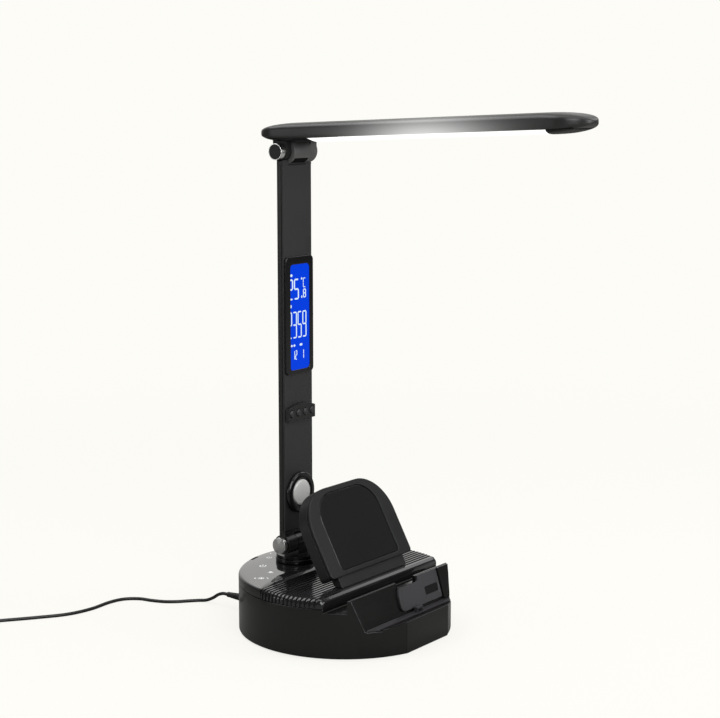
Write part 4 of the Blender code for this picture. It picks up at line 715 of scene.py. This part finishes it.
# Turned metal has fine rings about its axis, as a cutting tool leaves them.
silver_finish = moulded("brushed aluminium", (0.62, 0.62, 0.61), 0.30, grain=0.0, metallic=1.0)
tree = silver_finish.node_tree
centre = node(tree, "Mapping", node(tree, "TexCoord").outputs["Object"], (0, -POST_Y, -LOWER_Z))
waves = node(tree, "TexWave", centre, 900.0, wave_type="RINGS", rings_direction="X")
bump = next(n for n in tree.nodes if n.type == "BUMP")
feed(tree, bump.inputs["Strength"], 0.25)
feed(tree, bump.inputs["Height"], waves.outputs["Fac"])
for side_name, sign in (("left", -1), ("right", 1)):
    ends = drum(CAP_RADIUS, sign * CAP_NEAR, sign * CAP_FAR)
    lid = turned(f"hinge_cap_{side_name}", ends, (0, POST_Y, LOWER_Z), "X", edge=0.0005)
    stand_for(lid, silver_finish, f"lower_cap_{side_name}")

# Post: a flat two-part moulding, 33 mm wide. The rear shell has rounded corners and carries both hinges.
# Its top has two shoulders in the grain of the front cover, hollowed for the arms of the head's fork.
UPPER_Z = 0.3524
FACE, POST_END, POST_CORNER = -0.0033, 0.3424, 0.0030
NECK_HALF, POST_SIDE, POST_REAR = 0.0099, 0.0166, 0.0040
CRADLE_LEFT, CRADLE_RIGHT = 0.0070, 0.0091


def along_x(outline, x):
    """Outline points (y, z) at a place x."""
    return xyz(x, outline[:, 0], outline[:, 1])


post_finish = moulded("post shell", (0.012, 0.0118, 0.0116), 0.36, grain=0.08)
cover_finish = moulded("post front", (0.022, 0.0212, 0.0220), 0.42, grain=0.12)
softened("post_back", "post_shell", post_finish, 0.0005, 35)
steps = POST_CORNER * np.sin(np.radians(np.linspace(0, 90, 7)))
for side_name, sign, cradle in (("left", -1, CRADLE_LEFT), ("right", 1, CRADLE_RIGHT)):
    rings = []
    for x in (NECK_HALF, *(POST_SIDE - POST_CORNER + steps)):
        over = max(0.0, x - POST_SIDE + POST_CORNER)
        rear_face = POST_REAR - POST_CORNER + math.sqrt(max(0.0, POST_CORNER**2 - over**2))
        slope = np.linspace(FACE, rear_face, 16)
        arc = UPPER_Z - np.sqrt(cradle**2 - slope**2)
        outline = np.vstack([[(FACE, POST_END), (rear_face, POST_END)], np.stack([slope, arc], 1)[::-1]])
        rings.append(along_x(outline + (POST_Y, 0), sign * x))
    added(skin(f"post_shoulder_{side_name}", rings), cover_finish, "post")

# Hinge barrel: the round top of the post, a smooth grey sleeve that the head's fork turns on.
# A slot runs across it, just above the front cover. A thin black sheet laid on the sleeve there is
# painted shade for the slot's depth.
BARREL, BARREL_HALF = 0.00903, 0.00996
SLOT_HALF, SLOT_LOW, SLOT_HIGH, SLOT_PROUD, SLOT_THICK = 0.0080, -0.0083, -0.0050, 0.00008, 0.0006
UPPER_HINGE = (0, POST_Y, UPPER_Z)
barrel_finish = moulded("grey hinge barrel", (0.125, 0.124, 0.123), 0.42, grain=0.06)
slot_shade_finish = moulded("painted slot shade", 0.002, 0.6, grain=0.0, specular=0.1)
barrel = turned("barrel_sleeve", drum(BARREL, -BARREL_HALF, BARREL_HALF), UPPER_HINGE, "X", 96)
added(barrel, barrel_finish, "post")
# The slot's painted shade: a thin near-black sheet, a hair proud of the sleeve, over the slot's outline.
swept = np.linspace(math.asin(-SLOT_LOW / BARREL), math.asin(-SLOT_HIGH / BARREL), 9)
outer = np.stack([-np.cos(swept), -np.sin(swept)], 1) * (BARREL + SLOT_PROUD)
outline = np.vstack([outer, outer[::-1] * (1 - SLOT_THICK / BARREL)]) + (POST_Y, UPPER_Z)
slot_shade = skin("slot_shade_sheet", [along_x(outline, x) for x in (-SLOT_HALF, SLOT_HALF)], 30)
added(slot_shade, slot_shade_finish, "post")

# Front cover of the post: a thin flat plate with a fine grain, clipped over the electronics. It fills the
# front from the lower hinge to the shoulders.
POST = Matrix.Translation((0, POST_Y, LOWER_Z))
COVER_LOW, COVER_TOP, COVER_THICK, COVER_SOFT = 0.0104, 0.2836, 0.0018, 0.0004
cover_line = rounded(-POST_SIDE, POST_SIDE, COVER_LOW, COVER_TOP, COVER_SOFT, 4)
post_cover = plate("post_cover", cover_line, FACE, FACE + COVER_THICK, COVER_SOFT, POST)
stand_for(post_cover, cover_finish, "post_front")

# Clock: a raised glossy black surround with a backlit blue display set into it, and white figures.
# The display is wider than the opening, so its left figures are partly hidden, as on the real one.
LENS_FACE = FACE - 0.0019
GLASS = LENS_FACE + 0.0007
LENS_HALF, LENS_LOW, LENS_HIGH, LENS_CORNER = 0.0162, 0.1291, 0.2166, 0.0036
OPEN_LEFT, OPEN_RIGHT, OPEN_LOW, OPEN_HIGH = -0.0107, 0.0119, 0.1322, 0.2106
OPEN_CORNERS = (0.0022, 0.0034, 0.0034, 0.0026)
BORDER_ACROSS, BORDER_UP = 0.002, 0.0015
lens_line = rounded(-LENS_HALF, LENS_HALF, LENS_LOW, LENS_HIGH, LENS_CORNER, 8)
opening_line = rounded(OPEN_LEFT, OPEN_RIGHT, OPEN_LOW, OPEN_HIGH, OPEN_CORNERS, 8)
surround_finish = moulded("gloss black surround", (0.007, 0.007, 0.0075), 0.14, grain=0.0)
surround = plate("clock_surround", lens_line, LENS_FACE, FACE - 0.0003, 0.0006, POST, hole=opening_line)
stand_for(surround, surround_finish, "clock_lens")
blue_finish = lit("blue backlight", (0.0, 0.046, 0.72), 0.95, (0.0, 0.006, 0.06), specular=0.08)
display_sides = (OPEN_LEFT - BORDER_ACROSS, OPEN_RIGHT + BORDER_ACROSS)
display_line = rounded(*display_sides, OPEN_LOW - BORDER_UP, OPEN_HIGH + BORDER_UP, 0.001, 4)
display = plate("clock_display", display_line, GLASS, GLASS + 0.0009, 0.0001, POST)
stand_for(display, blue_finish, "clock_module")

# Which of the seven bars of a figure are lit, in the order top, upper left, upper right, middle,
# lower left, lower right, bottom.
BARS = {"1": "0010010", "2": "1011101", "3": "1011011", "5": "1101011"}
BARS.update({"8": "1111111", "9": "1111011", "C": "1100101"})
BAR_PLACES = [(0.5, 1, 0), (0, 0.75, 1), (1, 0.75, 1), (0.5, 0.5, 0)]
BAR_PLACES += [(0, 0.25, 1), (1, 0.25, 1), (0.5, 0, 0)]


def bar(x, z, length, width, upright):
    """A bar with pointed ends, centred at x, z: a hexagon as long as the length."""
    l, w = length / 2, width / 2
    tip = min(w, l)
    p = np.array([(-l, 0), (-l + tip, -w), (l - tip, -w), (l, 0), (l - tip, w), (-l + tip, w)])
    return (p[:, ::-1] if upright else p) + (x, z)


def figure(text, x, z, width, height, thick):
    """The bars of one figure in a box with its lower left corner at x, z. Each bar's place is a share of
    the box across and up, and the last value tells an upright bar."""
    w, h = width - thick, height - thick
    x, z = x + thick / 2, z + thick / 2
    places = [place for place, on in zip(BAR_PLACES, BARS[text]) if on == "1"]
    lengths = (w * 0.98, h / 2 * 0.98)
    return [bar(x + w * right, z + h * up, lengths[on_end], thick, on_end) for right, up, on_end in places]


# The figures' heights are taken from the desk, with the post upright. A row holds the places across, the
# height, and the figures' width, height and stroke. A dot holds its middle and its two radii.
FIGURES = [
    ("2359", (-0.0134, -0.0078, -0.0021, 0.0036), 0.2148, 0.0048, 0.0198, 0.0010),
    ("25", (-0.0131, -0.0062), 0.2435, 0.0058, 0.0155, 0.0012),
    ("C", (0.0046,), 0.2518, 0.0030, 0.0072, 0.0006),
    ("8", (0.0046,), 0.2442, 0.0034, 0.0066, 0.0008),
    ("121", (-0.0076, -0.0050, 0.0030), 0.1985, 0.0022, 0.0072, 0.0007),
]
DOTS = [(0.0030, 0.2586, 0.0008, 0.0008), (0.0030, 0.2450, 0.0006, 0.0010)]
DOTS += [(-0.0092, 0.2617, 0.0013, 0.0010), (-0.0100, 0.2388, 0.0010, 0.0012)]
TICKS = [(-0.0104, 0.0024), (-0.0074, 0.0026), (0.0000, 0.0036)]
figures = [bar(x + width / 2, 0.2094, width, 0.0017, False) for x, width in TICKS]
figures += [disc(1.0, 16) * (across, up) + (x, z) for x, z, across, up in DOTS]
for row, places, *box in FIGURES:
    for text, x in zip(row, places):
        figures += figure(text, x, *box)
white_lit = lit("white figures", (0.72, 0.88, 0.95), 0.9, (0.10, 0.12, 0.14), specular=0.08)
upright = Matrix.Translation((0, POST_Y + GLASS, 0)) @ Matrix.Rotation(math.radians(90), 4, "X")
added(decal("clock_figures", figures, 0.00012, upright), white_lit, "post")

# Keypad: an arched glossy plate below the clock with four small round buttons that press in.
# The buttons are separate mouldings with crowned tops, each in its own hole over a switch.
BUTTON_Z, BUTTON_PITCH, BUTTON_RADIUS = 0.1588, 0.0080, 0.0026


def off_face(profile):
    """A profile of (radius, height off the post's front) as (radius, y)."""
    return [(r, FACE - h) for r, h in profile]


keypad_finish = moulded("keypad black", (0.012, 0.012, 0.0125), 0.22, grain=0.03)
button_finish = moulded("button black", (0.026, 0.026, 0.027), 0.38, grain=0.1)
softened("keypad_plate", "keypad_bezel", keypad_finish, 0.0005)
crown = [(1e-5, 0.0044), (0.0016, 0.0043), (BUTTON_RADIUS, 0.0037), (BUTTON_RADIUS, 0.0013), (1e-5, 0.0013)]
for n in range(4):
    x = (n - 1.5) * BUTTON_PITCH
    key = turned(f"key_{n + 1}", off_face(crown), (x, POST_Y, BUTTON_Z), "Y", 40)
    stand_for(key, button_finish, f"clock_button_{n + 1}")

# Watch charger: a glossy ring with a brushed silver charging face inside it.
# Both are round, turned about the same centre, and stand proud of the post's front cover.
WATCH = (0, POST_Y, 0.0973)
RING_BORE, RING_RADIUS, PUCK_RADIUS = 0.0106, 0.0156, 0.0098
ring_line = [(RING_BORE, 0.0018), (RING_BORE, 0.0027), (0.0112, 0.0033), (0.0146, 0.0033)]
ring_line += [(RING_RADIUS, 0.0022), (RING_RADIUS, 0.0003), (RING_BORE, 0.0003), (RING_BORE, 0.0018)]
ring = turned("watch_surround", off_face(ring_line), WATCH, "Y", 96, 0.0004)
stand_for(ring, surround_finish, "watch_ring")
puck_line = [(1e-5, 0.0037), (0.0060, 0.0037), (0.0092, 0.0034)]
puck_line += [(PUCK_RADIUS, 0.0026), (PUCK_RADIUS, 0.0003), (1e-5, 0.0003)]
puck_finish = moulded("silver charging face", (0.76, 0.76, 0.74), 0.45, 0.35, 2200.0, metallic=0.25)
puck = turned("watch_face", off_face(puck_line), WATCH, "Y", 96, 0.0004)
stand_for(puck, puck_finish, "watch_puck")

# Head: a slim arm whose section is a superellipse, 40 mm by 14 mm, pointed at both ends.
# A black cover forms the top, a bracket and a tip close the ends below it, and a diffuser lies between.
TILT = math.radians(2.6)
HEAD = Matrix.Translation((0, POST_Y, UPPER_Z)) @ Matrix.Rotation(-TILT, 4, "X")
HEAD_HALF, HEAD_TALL, HEAD_MIDDLE = 0.0200, 0.0070, 0.0134
HEAD_BACK, HEAD_FRONT, HEAD_END, HEAD_TAPER = 0.0240, -0.2500, 0.0200, 0.0340
SPLIT, SQUARE, CHIN_POWER = 0.0090, 4.0, 1.6
MEET = SPLIT + 0.0003
TIP_DROP, TIP_START, TIP_RAMP = 0.0008, -0.1900, 0.0400


def filled(distance, reach):
    """How full the section is this far in from a tip: a quarter circle over the reach, then 1."""
    return np.sqrt(1 - (1 - np.minimum(distance / reach, 1)) ** 2)


def head_rows(first, last, count):
    """Places along the head: close together at the tips, where the outline turns fastest."""
    t = np.linspace(0, 1, count)
    return first + (last - first) * (1 - np.cos(np.pi * t)) / 2


def head_half(y, low, high, *turn):
    """Sections of the head: x = w |cos a|^(2/n) and z = h |sin a|^(2/n) about the middle, over a turn given
    as its first and last angle and a count. w and h fill out from the tips, and z is kept between two
    heights. Below the middle h rises faster towards the hinge end, as a power of its share, and grows a
    little towards the tip."""
    inward = np.minimum(HEAD_BACK - y, y - HEAD_FRONT)
    wide = HEAD_HALF * filled(inward, HEAD_END)
    share = filled(inward, HEAD_TAPER)
    drop = TIP_DROP * np.clip((TIP_START - y) / TIP_RAMP, 0, 1)
    above, below = HEAD_TALL * share, (HEAD_TALL + drop) * np.where(y > 0, share ** CHIN_POWER, share)
    angles = np.radians(np.linspace(*turn))
    across, up = (np.sign(v) * np.abs(v) ** (2 / SQUARE) for v in (np.cos(angles), np.sin(angles)))
    x = wide[:, None] * across
    z = HEAD_MIDDLE + np.where(up < 0, below[:, None], above[:, None]) * up
    return xyz(x, y[:, None], np.clip(z, low, high))


rows = head_rows(HEAD_BACK - 1e-5, HEAD_FRONT + 1e-5, 181)
shape = head_half(rows, MEET, 1.0, -60, 240, 121)
head_finish = moulded("head satin black", (0.022, 0.022, 0.0215), 0.34, grain=0.06)

# Painted light: the cover's sides glow white around the middle of the head, standing in for the diffuser's
# glare.
# The glow is a bell curve along the head, exp(-((y - middle) / spread)^2 / 2), that fades upwards.
PAINTED_GLOW_MIDDLE, PAINTED_GLOW_SPREAD = -0.1280, 0.0330
tree = head_finish.node_tree
where = node(tree, "TexCoord").outputs["Object"]
local = node(tree, "Mapping", where, UPPER_HINGE, (-TILT, 0, 0), vector_type="TEXTURE")
sideways, along, up = node(tree, "SeparateXYZ", local).outputs
off = node(tree, "Math", along, PAINTED_GLOW_MIDDLE, operation="SUBTRACT")
share = node(tree, "Math", off, PAINTED_GLOW_SPREAD, operation="DIVIDE")
square = node(tree, "Math", share, 2.0, operation="POWER")
bell = node(tree, "Math", node(tree, "Math", square, -0.5, operation="MULTIPLY"), operation="EXPONENT")
from_middle = node(tree, "Math", sideways, operation="ABSOLUTE")
edge_only = node(tree, "MapRange", from_middle, 0.0140, 0.0192, 0.0, 1.0)
painted_glow_sides = node(tree, "Math", bell, edge_only, operation="MULTIPLY")
fall = node(tree, "MapRange", up, 0.0095, 0.0160, 0.68, 0.36)
light = node(tree, "Math", painted_glow_sides, fall, operation="MULTIPLY")
settings = tree.nodes["Principled BSDF"].inputs
# The painted glow goes into the cover's emission.
feed(tree, settings["Emission Color"], blend(tree, light, (0, 0, 0), (1.0, 1.0, 0.99)))
feed(tree, settings["Emission Strength"], 1.0)
stand_for(skin("head_shell", placed(shape, HEAD), 40), head_finish, "head_cover")

# Head bracket: it closes the head below the cover at the hinge end, with a slanting front face. Its fork
# holds the post's barrel between a small black arm behind the left knob and a round grey one.
BRACKET_BACK, BRACKET_FRONT, BRACKET_SLANT, BRACKET_LOW = 0.0126, -0.0266, 0.0070, 0.0064
ARM_NEAR, ARM_LEFT, ARM_RIGHT, ARM_SOFT = 0.0101, 0.0163, 0.0176, 0.0006
nose_finish = moulded("head end black", (0.013, 0.013, 0.0127), 0.40, grain=0.06, specular=0.22)
rows = BRACKET_BACK - (BRACKET_BACK - BRACKET_FRONT) * (1 - np.cos(np.linspace(0, np.pi / 2, 25)))
shape = head_half(rows, 0.0, MEET, 180, 360, 49)
slant = BRACKET_SLANT / (SPLIT - BRACKET_LOW) * (SPLIT - shape[-1, :, 2])
shape[-1, :, 1] = BRACKET_FRONT - slant
stand_for(skin("head_socket", placed(shape, HEAD), 35), nose_finish, "head_bracket")
ARMS = [
    ("left", ARM_NEAR, ARM_LEFT, 0.0066, nose_finish),
    ("right", -ARM_RIGHT, -ARM_NEAR, 0.0088, barrel_finish),
]
for side_name, near, far, radius, arm_finish in ARMS:
    flank = radius - ARM_SOFT
    root = [(flank, 0.0030), (flank, 0.0087), (-flank, 0.0087), (-flank, 0.0030)]
    outline = np.vstack([sweep(0, 0, radius, 184, 356, 30), root])
    across_head = HEAD @ Matrix.Rotation(math.pi / 2, 4, "Z")
    arm = plate(f"fork_arm_{side_name}", outline, near, far, ARM_SOFT, across_head, 35)
    added(arm, arm_finish, "head")

# Head tip: the same section below the cover, past the end of the diffuser.
# It is a small moulding in the bracket's black, snapped into the cover.
TIP_BACK, TIP_FRONT = -0.2243, -0.2423
shape = head_half(head_rows(TIP_BACK, TIP_FRONT, 61), 0.0, MEET, 180, 360, 73)
stand_for(skin("head_nose", placed(shape, HEAD), 40), nose_finish, "head_tip")

# Diffuser: an opal acrylic bar under the head, lit white from inside by the LED board.
# The guide, the reflector and the board lie above it, hidden by the cover.
opal_finish = lit("opal diffuser", (0.95, 0.95, 0.93), 1.15, (0.80, 0.80, 0.79), 0.35)
softened("light_bar", "diffuser", opal_finish, 0.0003)
wear(white_finish, "light_guide", "reflector")
wear(steel_finish, "led_board")

# Upper hinge knobs: a chromed cup on each side of the fork, with a shallow floor for a knurled black
# face. They are turned metal, and the left one is deeper.
KNOB_GAP, KNOB_RADIUS, KNOB_BORE, KNOB_DEEP = 0.0003, 0.0060, 0.0054, 0.0012
KNOBS = [("left", -1, ARM_LEFT + KNOB_GAP, 0.0050), ("right", 1, ARM_RIGHT + KNOB_GAP, 0.0030)]
chrome_finish = moulded("chrome", 0.82, 0.22, grain=0.0, metallic=1.0)
for side_name, sign, low, thick in KNOBS:
    high = low + thick
    cup = [(1e-5, low), (KNOB_RADIUS, low), (KNOB_RADIUS, high), (KNOB_BORE, high)]
    cup += [(KNOB_BORE, high - KNOB_DEEP), (1e-5, high - KNOB_DEEP)]
    knob = turned(f"hinge_knob_{side_name}", [(r, sign * h) for r, h in cup], UPPER_HINGE, "X", 72, 0.0002)
    stand_for(knob, chrome_finish, f"upper_knob_{side_name}")

# Knurled faces: black discs let into the knobs, with rows of small pyramids in a square grid that a
# knurling tool presses, cut off by a circle.
KNURL_PITCH, KNURL_HIGH, KNURL_RADIUS, KNURL_THICK = 0.0007, 0.00022, 0.0051, 0.0008


def knurled(name, base, sign, centre):
    """A disc whose height at (a, b) rises to a peak in each cell of a grid turned by 45 degrees:
    peak * (1 - |u|) * (1 - |v|), where u and v run from -1 to 1 across the cell."""
    r = np.hstack([np.linspace(1e-5, KNURL_RADIUS, 34), [KNURL_RADIUS + 0.0001] * 2])
    t = np.linspace(0, 2 * np.pi, 144, endpoint=False)
    a, b = r[:, None] * np.cos(t)[None], r[:, None] * np.sin(t)[None]
    u = ((a + b) / KNURL_PITCH) % 2 - 1
    v = ((a - b) / KNURL_PITCH) % 2 - 1
    rise = KNURL_HIGH * (1 - np.abs(u)) * (1 - np.abs(v)) * (r[:, None] < KNURL_RADIUS * 0.98)
    x = sign * (base + rise)
    x[-1] = sign * (base - KNURL_THICK)
    return skin(name, xyz(x, a, b) + centre, 15)


knurl_finish = moulded("knurled black", (0.016, 0.015, 0.016), 0.55, grain=0.3, scale=900.0)
for side_name, sign, low, thick in KNOBS:
    face = knurled(f"knurled_face_{side_name}", low + thick + 0.0002, sign, UPPER_HINGE)
    stand_for(face, knurl_finish, f"knob_face_{side_name}")

# Plug and strain relief: a round barrel plug in the inlet, and a soft ribbed sleeve that tapers to the
# cord. Both are moulded on the cord's end in black PVC.
JACK = (CORD_START[0], 0.0, CORD_START[2])
PIN_RADIUS, PIN_END, PLUG_RADIUS, PLUG_FRONT, PLUG_BACK = 0.0027, 0.0717, 0.0042, 0.0797, 0.0887
RELIEF_FRONT, RELIEF_BACK, RELIEF_RADIUS, RELIEF_TAPER = 0.0890, 0.1030, 0.0030, 0.0010
RIPPLE_PITCH, RIPPLE_DEEP = 0.0014, 0.00022
plug_finish = moulded("plug black", 0.014, 0.4)
cord_finish = moulded("cord black", 0.012, 0.42, grain=0.1)
barrel_line = [(1e-5, PIN_END), (PIN_RADIUS, PIN_END), (PIN_RADIUS, PLUG_FRONT), (PLUG_RADIUS, PLUG_FRONT)]
barrel_line += [(PLUG_RADIUS, PLUG_BACK), (1e-5, PLUG_BACK)]
stand_for(turned("barrel_plug", barrel_line, JACK, "Y", 48, 0.0006), plug_finish, "power_plug")
places = np.linspace(RELIEF_FRONT, RELIEF_BACK, 43)
along = places - RELIEF_FRONT
ribbed = (places > RELIEF_FRONT + 0.0013) & (places < RELIEF_BACK - 0.0010)
ripple = RIPPLE_DEEP * (np.cos(along / RIPPLE_PITCH * 2 * np.pi) - 1) * ribbed
thick = RELIEF_RADIUS - RELIEF_TAPER * along / (RELIEF_BACK - RELIEF_FRONT) + ripple
sleeve = np.vstack([[1e-5, RELIEF_FRONT], np.stack([thick, places], 1), [1e-5, RELIEF_BACK]])
stand_for(turned("relief_sleeve", sleeve, JACK, "Y", 40, 0.0002), cord_finish, "strain_relief")

# Cord end: a USB plug with a black moulded grip and a folded steel shell, lying flat by the coil.
# The grip's ends are rounded in steps of (inset, depth from its back).
GRIP_HALF, GRIP_HIGH, GRIP_CORNER = 0.0075, 0.0039, 0.0015
GRIP_STEPS = [(0.0012, 0.0), (0.0005, 0.0002), (0.0, 0.0012)]
GRIP_STEPS += [(0.0, 0.0208), (0.0005, 0.0218), (0.0012, 0.0220)]
grip_back = float(cord_end[0]) - 0.0003
grip_line = rounded(-GRIP_HALF, GRIP_HALF, -GRIP_HIGH, GRIP_HIGH, GRIP_CORNER, 6) + cord_end[1:]
rings = [along_x(shrunk(grip_line, inset), grip_back - depth) for inset, depth in GRIP_STEPS]
grip = stand_for(skin("usb_grip", rings, 40), plug_finish, "usb_plug_body")
shell_finish = moulded("nickel shell", (0.62, 0.61, 0.58), 0.25, metallic=1.0)
shell = softened("usb_shell", "usb_plug_shell", shell_finish, 0.0002)
cord.data.materials.append(cord_finish)
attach(cord, "base")
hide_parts("power_cord", "cord_coil")

# Inside: a steel weight, the main board and the clock's board, which show only when the lamp is opened.
# They keep the shapes of the CAD nodes.
board_finish = moulded("circuit board", (0.02, 0.16, 0.07), 0.45)
wear(steel_finish, "weight_plate")
wear(board_finish, "main_board", "clock_board")

low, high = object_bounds()
